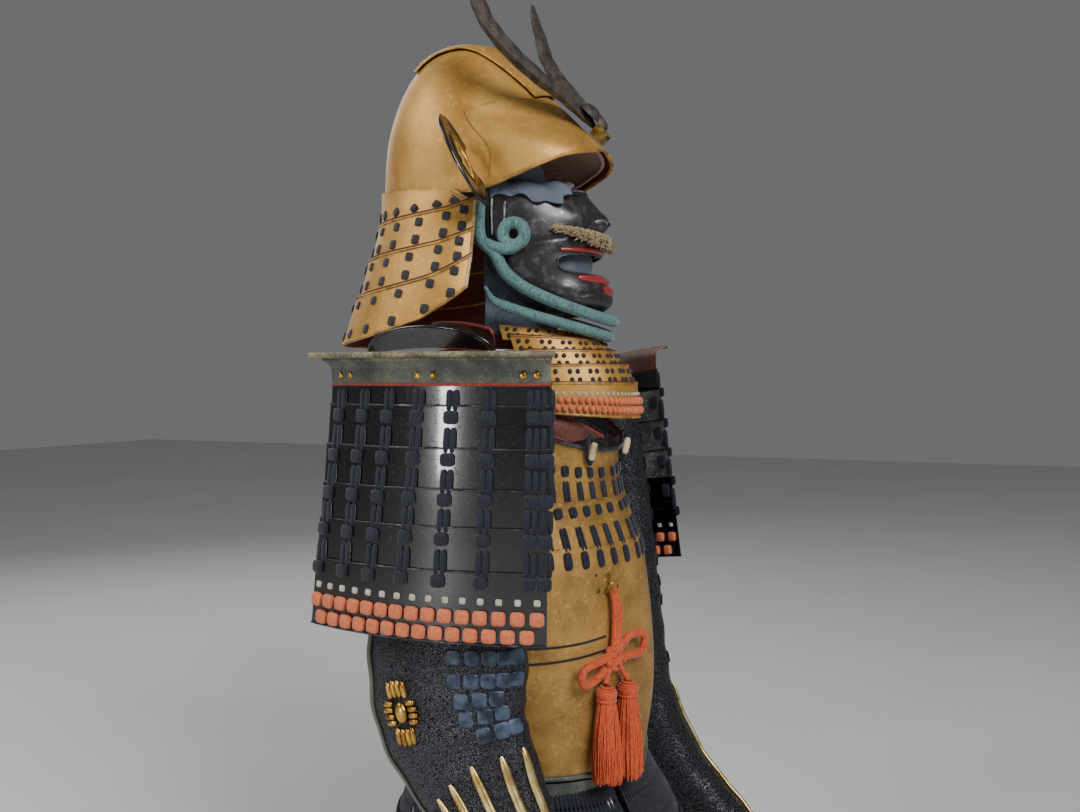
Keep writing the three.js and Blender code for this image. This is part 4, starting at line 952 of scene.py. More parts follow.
def hood_face(u, v):
    z = mix(30, 238, v)
    front, half = along(HOOD, "z", "front", z), along(HOOD, "z", "half", z)
    degrees = mix(-88, 88, u)
    a = np.radians(degrees)
    folds = 1.6 * np.sin(0.11 * z + 0.09 * degrees) + 1.1 * np.sin(0.05 * z - 0.23 * degrees + 2)
    in_the_mouth = np.clip(1.4 - np.abs(z - 116) / 16, 0, 1)
    folds = folds + 2.4 * np.abs(np.sin(0.16 * degrees + 0.03 * z)) * in_the_mouth
    half, front = half - 2 + folds, front - 2 + folds
    return xyz(half * np.sin(a), 14 - (front + 14) * np.cos(a), z)


def hood_kept(u, v):
    turn, z = np.abs(mix(-88, 88, u)), mix(30, 238, v)
    return z < np.where(turn > 40, 238, 196 + 42 * np.clip((turn - 26) / 14, 0, 1) ** 2)


hood = shell("head_cloth_wrap", on(HEAD, hood_face), 88, 80, CLOTH, [SLATE, SLATE], keep=hood_kept, smooth=70)
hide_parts("head_cloth")
width, length, area = cut_of(on(HEAD, hood_face))
print("head cloth cut", round(width, 2), "x", round(length, 2), "m")

# %% [markdown]
# ## The face mask
# Embossed iron under black lacquer: cheekbones, nose, an open mouth with red lips, and a jaw that runs
# out to the chin. Each row of the table is a level of the face. Small swellings for the nose, its wings
# and the cheeks are added to it, so that the form stays smooth.

# %% Mask
FACE = table("z front half ear",
             (57, 116, 54, -46), (66, 131, 63, -32), (78, 134, 70, -16), (90, 127, 76, -3), (102, 122, 80, 7),
             (116, 122, 82, 13), (130, 118, 84, 14), (144, 120, 85, 14), (160, 116, 86, 14), (176, 112, 86, 14),
             (190, 104, 86, 12), (199, 98, 86, 10))
EARS = 86


def swelling(x, z, x0, z0, reach, wide, tall):
    return reach * np.exp(-(((x - x0) / wide) ** 2) - ((z - z0) / tall) ** 2)


def face_point(degrees, z):
    front, half, ear = (along(FACE, "z", c, z) for c in ("front", "half", "ear"))
    a = np.radians(degrees)
    x = half * power(np.sin(a), 0.9)
    swell = swelling(x, z, 0, 176, 17, 15, 17) + swelling(np.abs(x), z, 15, 168, 8, 8, 8)
    swell = swell + swelling(np.abs(x), z, 48, 172, 9, 18, 20)
    crease = np.abs(x) * 0.35 + z
    swell = swell - 2.2 * np.exp(-(((crease - 168) / 3.2) ** 2)) * np.clip((np.abs(x) - 22) / 16, 0, 1)
    swell = swell + 1.8 * np.exp(-(((z + np.abs(x) * 0.22 - 100) / 5) ** 2)) * np.clip(np.abs(x) / 20, 0, 1)
    swell = swell - 1.6 * np.exp(-(((z + np.abs(x) * 0.3 - 92) / 3) ** 2)) * np.clip(np.abs(x) / 20, 0, 1)
    return xyz(x, ear - (front + ear + swell) * power(np.cos(a), 0.9), z)


def mask_face(u, v):
    z = mix(57, 199, v)
    bridge = 10 * np.exp(-((u - 0.5) ** 2) / 0.004) * np.clip(v - 0.9, 0, 1) * 10
    p = face_point(mix(-EARS, EARS, u), z)
    return xyz(p[..., 0], p[..., 1], p[..., 2] + bridge)


MOUTH_Z, MOUTH_HALF, MOUTH_TURN = 116, 13.7, 48


def mask_kept(u, v):
    turn, z = mix(-EARS, EARS, u), mix(57, 199, v)
    return (np.abs(turn) / MOUTH_TURN) ** 3 + (np.abs(z - MOUTH_Z) / MOUTH_HALF) ** 3 > 1


mask = shell("mask_iron", on(HEAD, mask_face), 140, 116, IRON, [DARK_IRON, RED_LACQUER], keep=mask_kept)
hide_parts("mask")
RED_LIPS = Finish("lip_lacquer", coat_weight=0.6, coat_roughness=0.1)
RED_LIPS.set("Base Color", RED_LIPS.blend(rgb(168, 46, 48), rgb(120, 26, 30), RED_LIPS.noise(60, 3)))
RED_LIPS.set("Roughness", 0.28 + RED_LIPS.noise(40) * 0.15)


def face_tube(name, degrees, levels, radius, finish, out=0.0, **shape):
    points = face_point(np.asarray(degrees, float), np.asarray(levels, float))
    points = points + out * unit(points * np.array([1, 1, 0]))
    return tube(name, HEAD(points), radius, finish, **shape)


ring = np.linspace(0, 2 * math.pi, 90, endpoint=False)
lip_turn, lip_z = MOUTH_TURN * power(np.cos(ring), 2 / 3), MOUTH_Z + MOUTH_HALF * power(np.sin(ring), 2 / 3)
face_tube("mouth_roll", lip_turn, lip_z, 1.8, DARK_IRON, sides=8, closed=True)
arc = np.linspace(-44, 44, 80)
face_tube("upper_lip", arc, MOUTH_Z + MOUTH_HALF + 4.5 - (arc / 44) ** 2 * 1.5,
          5.0 * np.sqrt(1 - (arc / 46) ** 2) ** 0.5, RED_LIPS.material, out=-0.6, sides=14, flat=0.8)
arc = np.linspace(-34, 34, 60)
face_tube("lower_lip", arc, MOUTH_Z - MOUTH_HALF - 5 + (arc / 34) ** 2 * 2,
          6.4 * np.sqrt(1 - (arc / 35.5) ** 2) ** 0.5, RED_LIPS.material, out=-1.2, sides=14, flat=0.9)
arc = np.linspace(-12, 12, 24)
face_tube("chin_red", arc, 84 + 0 * arc,
          7 * np.sqrt(1 - (arc / 13) ** 2) ** 0.5, RED_LIPS.material, out=-2.4, sides=14)
rim_u = np.linspace(0, 1, 120)
tube("mask_top_roll", HEAD(mask_face(rim_u, 1 + 0 * rim_u)), 1.5, DARK_IRON, sides=8)
tube("mask_chin_roll", HEAD(mask_face(rim_u, 0 * rim_u)), 1.8, DARK_IRON, sides=8)
for name, side in SIDES.items():
    levels = np.linspace(150, 194, 20)
    # Two raised ribs at each ear; their silver colour is a painted highlight on the ear flange.
    face_tube(f"ear_highlight_strip_{name}", side * 83.5 + 0 * levels, levels, 2.4, SILVER, out=0.4, sides=10)
    face_tube(f"ear_highlight_edge_{name}", side * 77 - side * (levels - 172) * 0.05, levels - 4, 2.0, SILVER,
              out=0.4, sides=10)
    # A silver cord round each nostril wing is a painted highlight on the dark iron nose.
    brow_arc = np.linspace(-1.1, 1.1, 24)
    wing = face_point(side * (8.4 + 5.2 * np.sin(brow_arc)), 166 + 6 * np.cos(brow_arc))
    tube(f"nostril_highlight_{name}", HEAD(wing + np.array([0, -1.0, 0])), 1.7, SILVER, sides=8)
print("mask levels", len(FACE["z"]))

# %% Cloth over the mask's top edge
def fold_face(u, v):
    turn, v = mix(-84, -20, np.asarray(u, float)), np.asarray(v, float)
    start = hood_face((turn + 88) / 176, (214 - 30) / 208 + 0 * v)
    skin = face_point(turn, 193 - 5 * np.sin(1.6 + 0.13 * turn) - 2.5 * np.sin(0.41 * turn) + 0 * v)
    out = unit(skin * np.array([1, 1, 0]))
    drawn = (1 - np.exp(-(((np.asarray(u) - 1) / 0.14) ** 2)))[..., None] * 0.35 + 0.65
    crest = skin + np.stack([0 * turn, 0 * turn, 24 + 4.5 * np.sin(0.3 * turn)], -1)
    crest = crest + (2.6 * np.sin(0.62 * turn + 1))[..., None] * out
    hang = skin + (4.2 + 2.2 * np.sin(0.55 * turn))[..., None] * out
    v = v[..., None] * drawn
    return (1 - v) ** 2 * start + 2 * v * (1 - v) * crest + v**2 * hang


def fold_of_left(u, v):
    return fold_face(1 - u, v) * np.array([-1, 1, 1])


folded = [shell(f"cloth_fold_{name}", on(HEAD, mirrored(fold_of_left, side)),
                70, 16, CLOTH, [SLATE, SLATE], smooth=70) for name, side in SIDES.items()]

# %% [markdown]
# ## The moustache
# Stiff animal hair bound along the upper lip. A core of the hair's reach keeps it dense, and a few
# hundred tapering tufts over it, each with its own lean, give it a combed surface and a broken edge.

# %% Moustache
def moustache_line(turn):
    share = np.abs(turn) / 50
    level = 147 + 13 * share**2
    base = face_point(turn, level)
    out = unit(base * np.array([1, 1, 0]))
    size = 1 - 0.75 * share**3
    return base + out * (6 * size + 1.2)[..., None], out, size


def moustache_face(u, v):
    turn = mix(-50, 50, u)
    centre, out, size = moustache_line(turn)
    a = v * 2 * math.pi
    ragged = size * (1 + 0.06 * np.sin(37 * turn) + 0.05 * np.sin(91 * turn + 3 * a))
    p = centre + out * (5.4 * ragged * np.cos(a))[..., None]
    return xyz(p[..., 0], p[..., 1], centre[..., 2] + 8.6 * ragged * np.sin(a))


cols, rows = 120, 16
u, v = np.meshgrid(np.linspace(0.01, 0.99, cols + 1), np.arange(rows) / rows)
points = HEAD(moustache_face(u.T, v.T)).reshape(-1, 3)
faces = [(i * rows + k, (i + 1) * rows + k, (i + 1) * rows + (k + 1) % rows, i * rows + (k + 1) % rows)
         for i in range(cols) for k in range(rows)]
faces += [tuple(range(rows)), tuple(cols * rows + k for k in range(rows))[::-1]]
core = piece("moustache_core", points, faces, [HAIR], smooth=80)
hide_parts("moustache")
random = np.random.default_rng(7)
tufts = []
for turn in random.uniform(-50, 50, 700):
    centre, out, size = moustache_line(np.array([turn]))
    centre, out, size = centre[0], out[0], size[0]
    across = np.array([-out[1], out[0], 0.0]) * math.copysign(1, turn)
    a = random.uniform(-1.2, 1.75)
    root = centre + 4.6 * size * math.cos(a) * out + np.array([0, 0, 7.4 * size * math.sin(a)])
    root = root - 0.4 * out
    lean = 0.95 * across + np.array([0, 0, -0.45 + random.uniform(-0.3, 0.3)]) + 0.3 * out
    span = random.uniform(9, 15) * (0.45 + 0.55 * size)
    middle = root + 0.5 * span * lean + 0.9 * out
    tip = root + span * lean * np.array([1, 1, 0.85]) - 0.4 * out
    line = spline([root, middle, tip], 5)
    tufts.append(tube_mesh(HEAD(line), np.array([0.7, 0.8, 0.7, 0.5, 0.15]), sides=4))
gathered("moustache_hair", tufts, [HAIR], smooth=80)
print("moustache tufts", len(tufts))

# %% [markdown]
# ## The chin cord
# A thick round braid ties the helmet under the chin of the mask, with a loop on each cheek. The braid's
# crossing strands are a low relief on the tube itself, so that they show at the silhouette too.

# %% Chin cord
def braided(run, a):
    """Two sets of strands that cross."""
    return 1 + 0.05 * np.abs(np.sin(4 * a + run * 0.9)) + 0.05 * np.abs(np.sin(4 * a - run * 0.9)) - 0.05


def under_the_chin(rows, middle):
    left = [(out, y, z) for out, y, z in rows]
    right = [(-out, y, z) for out, y, z in reversed(rows)]
    return np.array(left + [middle] + right, float)


UPPER_RUN = [(96.5, 8, 190), (98.5, 6, 146), (97.5, -12, 126), (93.5, -23, 105), (87, -43, 87), (75, -74, 71),
             (51, -106, 58), (25, -128, 50)]
LOWER_RUN = [(87, 4, 87), (90, -10, 69), (85, -39, 57), (71, -75, 46), (49, -105, 37), (25, -123, 31)]
upper_line = spline(under_the_chin(UPPER_RUN, (0, -135, 48)), 300)
upper_cord = tube("chin_cord_over", HEAD(upper_line), 7.25, TEAL, sides=20, relief=braided)
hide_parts("chin_cord_upper")
lower_line = spline(under_the_chin(LOWER_RUN, (0, -130, 28)), 260)
taper = np.clip(np.minimum(np.arange(260), np.arange(260)[::-1]) / 26, 0, 1) ** 0.6
lower_cord = tube("chin_cord_under", HEAD(lower_line), 6.6 * np.maximum(taper, 0.35), TEAL,
                  sides=20, relief=braided)
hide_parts("chin_cord_lower")
for name, side in SIDES.items():
    a = np.linspace(0, 2 * math.pi, 70, endpoint=False)
    loop = xyz(side * (95 + 0 * a), -35 + 13.5 * np.cos(a), 149 + 13.5 * np.sin(a))
    tube(f"cheek_loop_{name}", HEAD(loop), 7.2, TEAL, sides=20, closed=True, relief=braided)
    link = [(side * 98.5, 4, 141), (side * 100, -14, 133), (side * 98.5, -32, 131), (side * 96.5, -48, 140)]
    tube(f"cheek_link_{name}", HEAD(spline(link, 50)), 6.6, TEAL, sides=20, relief=braided)
print("chin cord", round(float(np.linalg.norm(np.diff(upper_line, axis=0), axis=1).sum())), "mm over")

# %% [markdown]
# ## The throat guard
# Five lames hang from the mask, each inside the one above it, laced with pairs of dark braid. The last
# one is a band of rounded salmon knots, two rows deep.

# %% Throat guard
THROAT = table("line half front ends middle side",
               (0, 84, 100, 14, 34, 44), (1, 85, 116, 12, 19, 26), (2, 87, 133, 8, 5, 6),
               (3, 90, 150, 4, -12, -14), (4, 94, 162, 0, -34, -34), (5, 97, 168, -4, -72, -60))
THROAT_ENDS = (76, 72, 68, 64, 60)


def throat_face(number):
    def line(n, u, grow, rise):
        half, front, ends, middle, side = (THROAT[c][n] for c in "half front ends middle side".split())
        a = np.radians(mix(-THROAT_ENDS[number - 1], THROAT_ENDS[number - 1], u))
        z = mix(middle, side, 1 - np.cos(a)) + rise
        return xyz((half + grow) * np.sin(a), ends - (front + ends + grow) * power(np.cos(a), 0.95), z)

    def surface(u, v):
        low = line(number, u, 0, 0)
        high = line(number - 1, u, 0 if number == 1 else STEP, 0 if number == 1 else LAP - 2)
        return mix(low, high, np.asarray(v)[..., None])

    return on(THROAT_SEAT, surface)


laces = []
for number in range(1, 6):
    face = throat_face(number)
    lame = shell(f"throat_lame_{number}", face, 80, 8, IRON, [GOLD, RED_LACQUER])
    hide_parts(f"throat_{number}")
    rim = face(edge_u, 0 * edge_u)
    rolled(f"throat_roll_{number}", rim, 1.5, GOLD, 6)
    if number > 1:
        seam, off = face(edge_u, 1 + 0 * edge_u), normals(face, edge_u, 1 + 0 * edge_u)
        rolled(f"throat_seam_{number}", seam, 1.2, GOLD, 6)
        # A dark red cord just above each seam is painted shadow under the lame above.
        rolled(f"throat_painted_shadow_{number}", seam - 0.3 * off + np.array([0, 0, 1.9]), 0.9, RED_LACQUER, 6)
    if number == 5:
        continue
    count = 11
    columns = (np.arange(count) + 0.5) / count
    for shift in (-0.0165, 0.0165):
        laces.append(bars_between(face, columns + shift, 0.03, columns + shift, 0.44, 5.2, 3.2))
        laces.append(bars_between(face, columns + shift, 0.62, columns + shift, 0.84, 5.2, 3.2))
throat_laces = gathered("throat_lacing", laces, [DARK_LACE])
band = throat_face(5)
beads, dots = [], []
for k, v in enumerate((0.2, 0.47)):
    columns = (np.arange(34) + 0.5 + 0.5 * k) / 34.5
    origins, ups, outs = frames_at(band, columns, v, 0.6)
    beads.append(scattered(dome(12, 4), origins, ups, outs, 8.0, 10.5, 10))
origins, ups, outs = frames_at(band, (np.arange(34) + 0.5) / 34, 0.68, 0.3)
dots.append(scattered(crossed(), origins, ups, outs, 4.2, 4.2, 3))
throat_beads = gathered("throat_beads", beads, [SALMON])
gathered("throat_dots", dots, [PALE_SILK])
print("throat lames 5, beads", 2 * 34)

# %% [markdown]
# ## The cuirass
# The body of the armour: a breast band, a laced lame below it, and one plain plate down to the waist,
# with a back that matches. The section of the body is a soft box that changes with depth, with a faint
# ridge down the front. The gold is thinner here and more worn than on the helmet.

# %% Cuirass plates
TORSO = table("depth half front back", (0, 128, 92, 140), (60, 136, 96, 148), (120, 144, 101, 151),
              (180, 149, 110, 152), (230, 151, 131, 150), (308, 152, 146, 148), (407, 150, 153, 144),
              (498, 144, 142, 138))


def torso_point(degrees, depth, out=0.0):
    half, front, back = (along(TORSO, "depth", c, depth) for c in ("half", "front", "back"))
    a, p = np.radians(degrees), 2 / 2.15
    ridge = 5 * np.maximum(0, 1 - turn_of(degrees) / 14)
    reach = np.where(np.cos(a) > 0, front + ridge, back)
    return xyz((half + out) * power(np.sin(a), p), -(reach + out) * power(np.cos(a), p), -depth)


BREAST_LINE, BELLY_LINE, WAIST = 182, 234, 495


def body_band(start, end, top, bottom, stepped=True, rim=0.0):
    def surface(u, v):
        degrees = mix(start, end, np.asarray(u, float))
        high = top(degrees) - (LAP if stepped else 0)
        out = (STEP * v if stepped else 0 * v) + rim * v**8
        return torso_point(degrees, mix(bottom, high, v), out)
    return surface


breast_face = body_band(-52, 52, lambda d: mix(119.0, 98.0, (d / 52) ** 2), BREAST_LINE, False, 7)
chest_face = body_band(-78, 78, lambda d: BREAST_LINE + 0 * d, BELLY_LINE)
belly_face = body_band(-89, 89, lambda d: BELLY_LINE + 0 * d, WAIST)
back_face = body_band(91, 269, lambda d: BELLY_LINE + 0 * d, WAIST)


def upper_back_face(u, v):
    degrees = mix(120, 240, np.asarray(u, float))
    top = mix(24, 110, (np.abs(degrees - 180) / 60) ** 3)
    depth = mix(BELLY_LINE, top, v)
    passed = sum(1 / (1 + np.exp((depth - line) / 0.6)) for line in (BELLY_LINE, 182, 130))
    return torso_point(degrees, depth, 0.8 * passed)


plates = (("breast_band", breast_face, 90, 24), ("chest_lame", chest_face, 110, 12),
          ("belly_plate", belly_face, 100, 40), ("back_upper", upper_back_face, 70, 60),
          ("back_plate", back_face, 80, 30))
for name, face, cols, rows in plates:
    plate = shell(name + "_skin", face, cols, rows, IRON, [WORN_GOLD, RED_LACQUER])
    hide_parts(name)
    if name != "back_upper":
        rolled(name + "_roll", face(edge_u, 0 * edge_u), 1.2, WORN_GOLD, 6)
rolled("neck_roll", breast_face(edge_u, 1 + 0 * edge_u), 3.0, DARK_IRON, 10)

# %% [markdown]
# The lames are carried by navy braid. Above each lower edge a pair of cords drops over the edge, and
# below it each pair is locked by a flat knot.

# %% Cuirass lacing
def laced_row(face, columns, knot_v, cord_low, cord_high, size):
    knots = scattered(pad(), *frames_at(face, columns, knot_v, 0.0), size * 1.05, size * 1.2, size * 0.6)
    cords = []
    for shift in (-1, 1):
        origin, up, out = frames_at(face, columns, (cord_low + cord_high) / 2, 0.8)
        sideways = np.cross(up, out) * shift * size * 0.22
        rise = face(columns, cord_high + 0 * columns) - face(columns, cord_low + 0 * columns)
        tall = np.linalg.norm(rise, axis=-1)
        cords.append(scattered(bar(), origin + sideways, up, out, size * 0.46, tall, size * 0.4))
    return [knots] + cords


laces = []
columns = (np.arange(11) + 0.5) / 11
laces += laced_row(breast_face, columns, 0.56, 0.03, 0.4, 11)
columns = (np.arange(17) + 0.5) / 17
laces += laced_row(chest_face, columns, 0.78, 0.03, 0.5, 11)
columns = (np.arange(19) + 0.5) / 19
laces += [scattered(pad(), *frames_at(belly_face, columns, 0.945, 0.0), 10.5, 21, 6)]
columns = (np.arange(13) + 0.5) / 13
for low, high, knot in ((0.02, 0.14, 0.22), (0.29, 0.4, 0.46), (0.53, 0.64, 0.7)):
    laces += laced_row(upper_back_face, columns, knot, low, high, 10)
columns = (np.arange(19) + 0.5) / 19
laces += [scattered(pad(), *frames_at(back_face, columns, 0.945, 0.0), 10.5, 21, 6)]
body_laces = gathered("cuirass_lacing", laces, [NAVY])

ties = []
for start, end, high, low in ((-80, -31, 332, 340), (-88, -31, 347, 360)):
    run = np.linspace(0, 1, 60)
    sag = 3 * np.sin(math.pi * run)
    ties.append(tube_mesh(torso_point(mix(start, end, run), mix(low, high, run) + sag, 2.2), 1.3, sides=8))
gathered("side_ties", ties, [NAVY])
hinge_pins = []
for side in (-1, 1):
    for depth in (270, 330, 390, 450):
        for turn in (86.5, 93.5):
            p = torso_point(np.array([side * turn]), np.array([depth]), 0.6)
            out = unit(torso_point(np.array([side * turn]), np.array([depth]), 9) - p)
            hinge_pins.append(scattered(dome(), p, np.array([[0, 0, 1.0]]), out, 6, 6, 3.6))
gathered("side_rivets", hinge_pins, [GILT])
print("lacing made for", 11 + 17 + 19, "front columns")

# %% [markdown]
# ## Straps, collar and shoulder domes
# Leather carries the weight: two straps over the shoulders, closed at the breast with a horn toggle in a
# loop, a standing collar behind the neck, and a small dome over each strap that guards it from a blow.

# %% Leather
STRAP = table("share out y z twist", (0, 60, -97, -105, 0.6), (0.2, 88, -38, -70, 1),
              (0.42, 112, -12, -20, 0.6), (0.6, 116, 24, 2, 0), (0.8, 108, 80, 0, 0), (1, 88, 127, -24, 0))


def strap_face(u, v):
    out, y, z, twist = (along(STRAP, "share", c, v) for c in ("out", "y", "z", "twist"))
    across = (np.asarray(u) - 0.5) * 46
    return xyz(out + across, y + twist * across, z - 0.12 * across)


def wing_face(u, v):
    reach = mix(-1, 1, np.asarray(v, float))
    arch = np.sqrt(np.maximum(0, 1 - (0.995 * reach) ** 2))
    x = mix(139, mix(139, 172, mix(0.35, 1, arch)), u)
    return xyz(x, 64 + 84 * reach, mix(-2 + 9 * arch, -2 + 31 * arch, u))


def collar_face(u, v):
    a = np.radians(mix(84, 276, np.asarray(u, float)))
    y = np.where(np.cos(a) > 0, -24 * np.cos(a), -124 * np.cos(a))
    droop = 16 * np.abs(2 * u - 1) ** 6
    return xyz((97 + 9 * v) * np.sin(a), y + 8, mix(8, 38 - droop, v))


collar = shell("collar_leather", collar_face, 120, 12, LEATHER, [PEBBLED, PEBBLED])
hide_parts("collar")
tube("collar_piping", collar_face(edge_u, 1 + 0 * edge_u), 1.8, PIPING, sides=8)
for name, side in SIDES.items():
    strap = shell(f"strap_leather_{name}", mirrored(strap_face, side), 16, 90, LEATHER, [PEBBLED, PEBBLED])
    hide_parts(f"strap_{name}")
    for edge in (0.0, 1.0):
        side_edge = mirrored(strap_face, side)(edge + 0 * edge_u, edge_u)
        tube(f"strap_piping_{name}_{int(edge)}", side_edge, 1.5, PIPING, sides=8)
    wing = shell(f"wing_leather_{name}", mirrored(wing_face, side), 16, 60, LEATHER, [BLACK, BLACK])
    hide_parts(f"wing_{name}")
    top_edge = 1.0 if side == LEFT else 0.0
    tube(f"wing_rim_{name}", mirrored(wing_face, side)(top_edge + 0 * edge_u, edge_u), 1.9, BLACK, sides=8)
print("straps, collar and domes made")

# %% Toggles and loops
HORN_PALE = metal("pale_horn", rgb(226, 208, 160), rgb(160, 130, 84), 0.3, 0.0, 60)
for name, side in SIDES.items():
    start = np.array([side * 61, -101.0, -103.0])
    a = np.linspace(0, 2 * math.pi, 40, endpoint=False)
    loop = start + np.stack([5.5 * np.cos(a), -2 - 1.5 * np.cos(a), -14 + 17 * np.sin(a)], 1)
    tube(f"toggle_loop_{name}", loop, 2.4, NAVY, sides=8, closed=True)
    lean = unit(np.array([0.35, -0.15, 1.0]))
    p, f = tube_mesh(start + np.array([0, -5.0, -16]) + np.linspace(-11, 11, 15)[:, None] * lean,
                     5.0 * np.sqrt(1 - np.linspace(-0.97, 0.97, 15) ** 2) ** 0.45, sides=14)
    piece(f"toggle_{name}", p, f, [HORN_PALE], smooth=70)
    boss = np.array([[side * 84.0, -60.0, -84.0]])
    outward = unit(np.array([[side * 0.3, -1, 0.35]]))
    rivet = scattered(dome(18, 5), boss, np.array([[0, 0, 1.0]]), outward, 18, 18, 8)
    gathered(f"strap_boss_{name}", [rivet], [SILVER])
print("toggles: 2")

# %% [markdown]
# ## The breast ring, the bow and the tassels
# A gilt ring hangs from a staple on the right breast. A braid is drawn through it and tied in a bow
# with two loops, and each end is finished with a tassel: a bound head over a skirt of loose threads.
# Each thread is its own fine tube, so that the skirt is ragged at the hem as silk is.

# %% Breast ring
RING_TURN = -26


def below_ring(across, drop, stand=10.0):
    p = torso_point(RING_TURN, 276 + np.asarray(drop, float))
    a = math.radians(RING_TURN)
    out, sideways = np.array([math.sin(a), -math.cos(a), 0]), np.array([math.cos(a), math.sin(a), 0])
    return p + np.asarray(across, float)[..., None] * sideways + np.asarray(stand, float)[..., None] * out


a = np.linspace(0, 2 * math.pi, 60, endpoint=False)
tilt = math.radians(62)
ring_line = below_ring(8 * np.cos(a), 8 * np.sin(a) * math.sin(tilt),
                       10.6 - 8 * np.sin(a) * math.cos(tilt))
breast_ring = tube("breast_ring_gilt", ring_line, 1.4, GILT, sides=12, closed=True)
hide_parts("breast_ring")
a0 = math.radians(RING_TURN)
ring_out = np.array([[math.sin(a0), -math.cos(a0), 0.0]])
plate = scattered(dome(20, 4), below_ring(np.array([0.0]), np.array([-8.0]), 0.3),
                  np.array([[0, 0, 1.0]]), ring_out, 17, 17, 4)
post = tube_mesh(below_ring(np.zeros(12), np.linspace(-8, -6, 12), np.linspace(0, 7.5, 12)), 2.2, sides=10)
gathered("ring_staple", [plate, post], [GILT])
studs = []
for depth in (-14.0, 4.0):
    place = below_ring(np.array([-17.0]), np.array([depth]), 0.3)
    studs.append(scattered(dome(12, 4), place, np.array([[0, 0, 1.0]]), ring_out, 7, 7, 5))
gathered("breast_studs", studs, [DARK_IRON])


# %% Bow
def silk_cord(run, a):
    return 1 + 0.07 * np.abs(np.sin(3 * a + run * 1.1)) + 0.07 * np.abs(np.sin(3 * a - run * 1.1)) - 0.07


def bow_line(*rows):
    across, drop, stand = np.array(rows, float).T
    return below_ring(across, drop, stand)


parts = []
for shift in (-3.4, 3.4):
    parts.append(tube_mesh(spline(bow_line((shift * 0.4, 4, 9), (shift, 22, 12), (shift - 2, 46, 11),
                                           (shift * 0.7 - 10, 74, 12)), 80), 3.8, sides=12, relief=silk_cord))
parts.append(tube_mesh(spline(bow_line((-3, 8, 8), (0, 2, 13.5), (3, 8, 8)), 24), 3.0, sides=12,
                       relief=silk_cord))
KNOT_DROP, BOW_ACROSS = 76, -11
loops = (((-4, 0), (-22, 3), (-47, 8), (-52, 18), (-44, 29), (-22, 22), (-4, 6)),
         ((4, 0), (22, -17), (42, -20), (53, -12), (50, 2), (38, 6), (18, 5), (4, 5)))
for loop in loops:
    line = bow_line(*[(BOW_ACROSS + x, KNOT_DROP + y, 10 + 3 * math.sin(k)) for k, (x, y) in enumerate(loop)])
    parts.append(tube_mesh(spline(line, 110), 4.7, sides=12, relief=silk_cord))
for k, (x, y, size) in enumerate(((0, 0, 9), (-7, 6, 7), (7, 5, 7), (0, 10, 7.5), (-2, -6, 7))):
    a = np.linspace(0, 2 * math.pi, 36, endpoint=False) + k
    line = below_ring(BOW_ACROSS + x + size * 0.75 * np.cos(a), KNOT_DROP + 2 + y + size * 0.5 * np.sin(a),
                      12 + 2.5 * np.sin(2 * a + k))
    parts.append(tube_mesh(line, 3.2, sides=12, closed=True, relief=silk_cord))
for x in (-17.25, 17.25):
    line = bow_line((BOW_ACROSS, KNOT_DROP + 8, 10), (BOW_ACROSS + 0.6 * x, KNOT_DROP + 18, 11),
                    (BOW_ACROSS + x, 106, 13))
    parts.append(tube_mesh(spline(line, 40), 3.2, sides=12, relief=silk_cord))
bow = gathered("breast_bow", parts, [ORANGE], smooth=80)
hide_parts("tassel_cord")
print("bow parts", len(parts))

# %% Tassels
random = np.random.default_rng(11)
for name, side in SIDES.items():
    head = below_ring(np.array([BOW_ACROSS + side * 17.25]), np.array([108.0]), 14.0)[0]
    parts = []
    for k in range(7):
        a = np.linspace(0, 2 * math.pi, 30, endpoint=False)
        radius = (6.2, 9.0, 10.6, 11.0, 10.6, 9.8, 10.6)[k]
        line = head + np.stack([radius * np.cos(a), radius * np.sin(a), -1.6 - 2.5 * k + 0 * a], 1)
        parts.append(tube_mesh(line, 1.7, sides=8, closed=True))
    for k in range(380):
        a, share = random.uniform(0, 2 * math.pi), math.sqrt(random.uniform(0.12, 1))
        foot = 17.0 * share
        spread = np.array([math.cos(a), math.sin(a), 0])
        wave = random.uniform(-1.2, 1.2, (5, 2)) * np.array([[0], [0.4], [0.8], [1], [1.4]])
        down = -np.array([15, 34, 58, 84, 112 - random.uniform(0, 9)])
        reach = np.array([9.4 * share, 12.6 * share, 15.0 * share, 16.6 * share,
                          foot * random.uniform(0.92, 1.06)])
        line = head + reach[:, None] * spread + np.stack([wave[:, 0], wave[:, 1], down], 1)
        parts.append(tube_mesh(spline(line, 9), 0.85, sides=4))
    threads = gathered(f"tassel_threads_{name}", parts, [ORANGE], smooth=80)
    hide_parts(f"tassel_{name}")
print("tassels: 2 with 380 threads each")

# %% [markdown]
# ## The tassets
# Seven skirt panels hang from the waist on free braid, so that the wearer can step. Each has five lames
# that are closely laced, cord beside cord, so little of the lame shows.

# %% Tassets
SKIRT = table("depth half front back", (499, 143, 141, 136), (580, 168, 190, 170), (800, 200, 226, 200))
TASSET_TOP, TASSET_FOOT, TASSET_LAMES = 576, 800, 5


def skirt_point(degrees, depth, out=0.0):
    half, front, back = (along(SKIRT, "depth", c, depth) for c in ("half", "front", "back"))
    a = np.radians(degrees)
    reach = np.where(np.cos(a) > 0, front, back)
    return xyz((half + out) * np.sin(a), -(reach + out) * np.cos(a), -depth)


def tasset_span(number):
    turn = 360 / 7
    return (number - 1.5) * turn + 1.6, (number - 0.5) * turn - 1.6


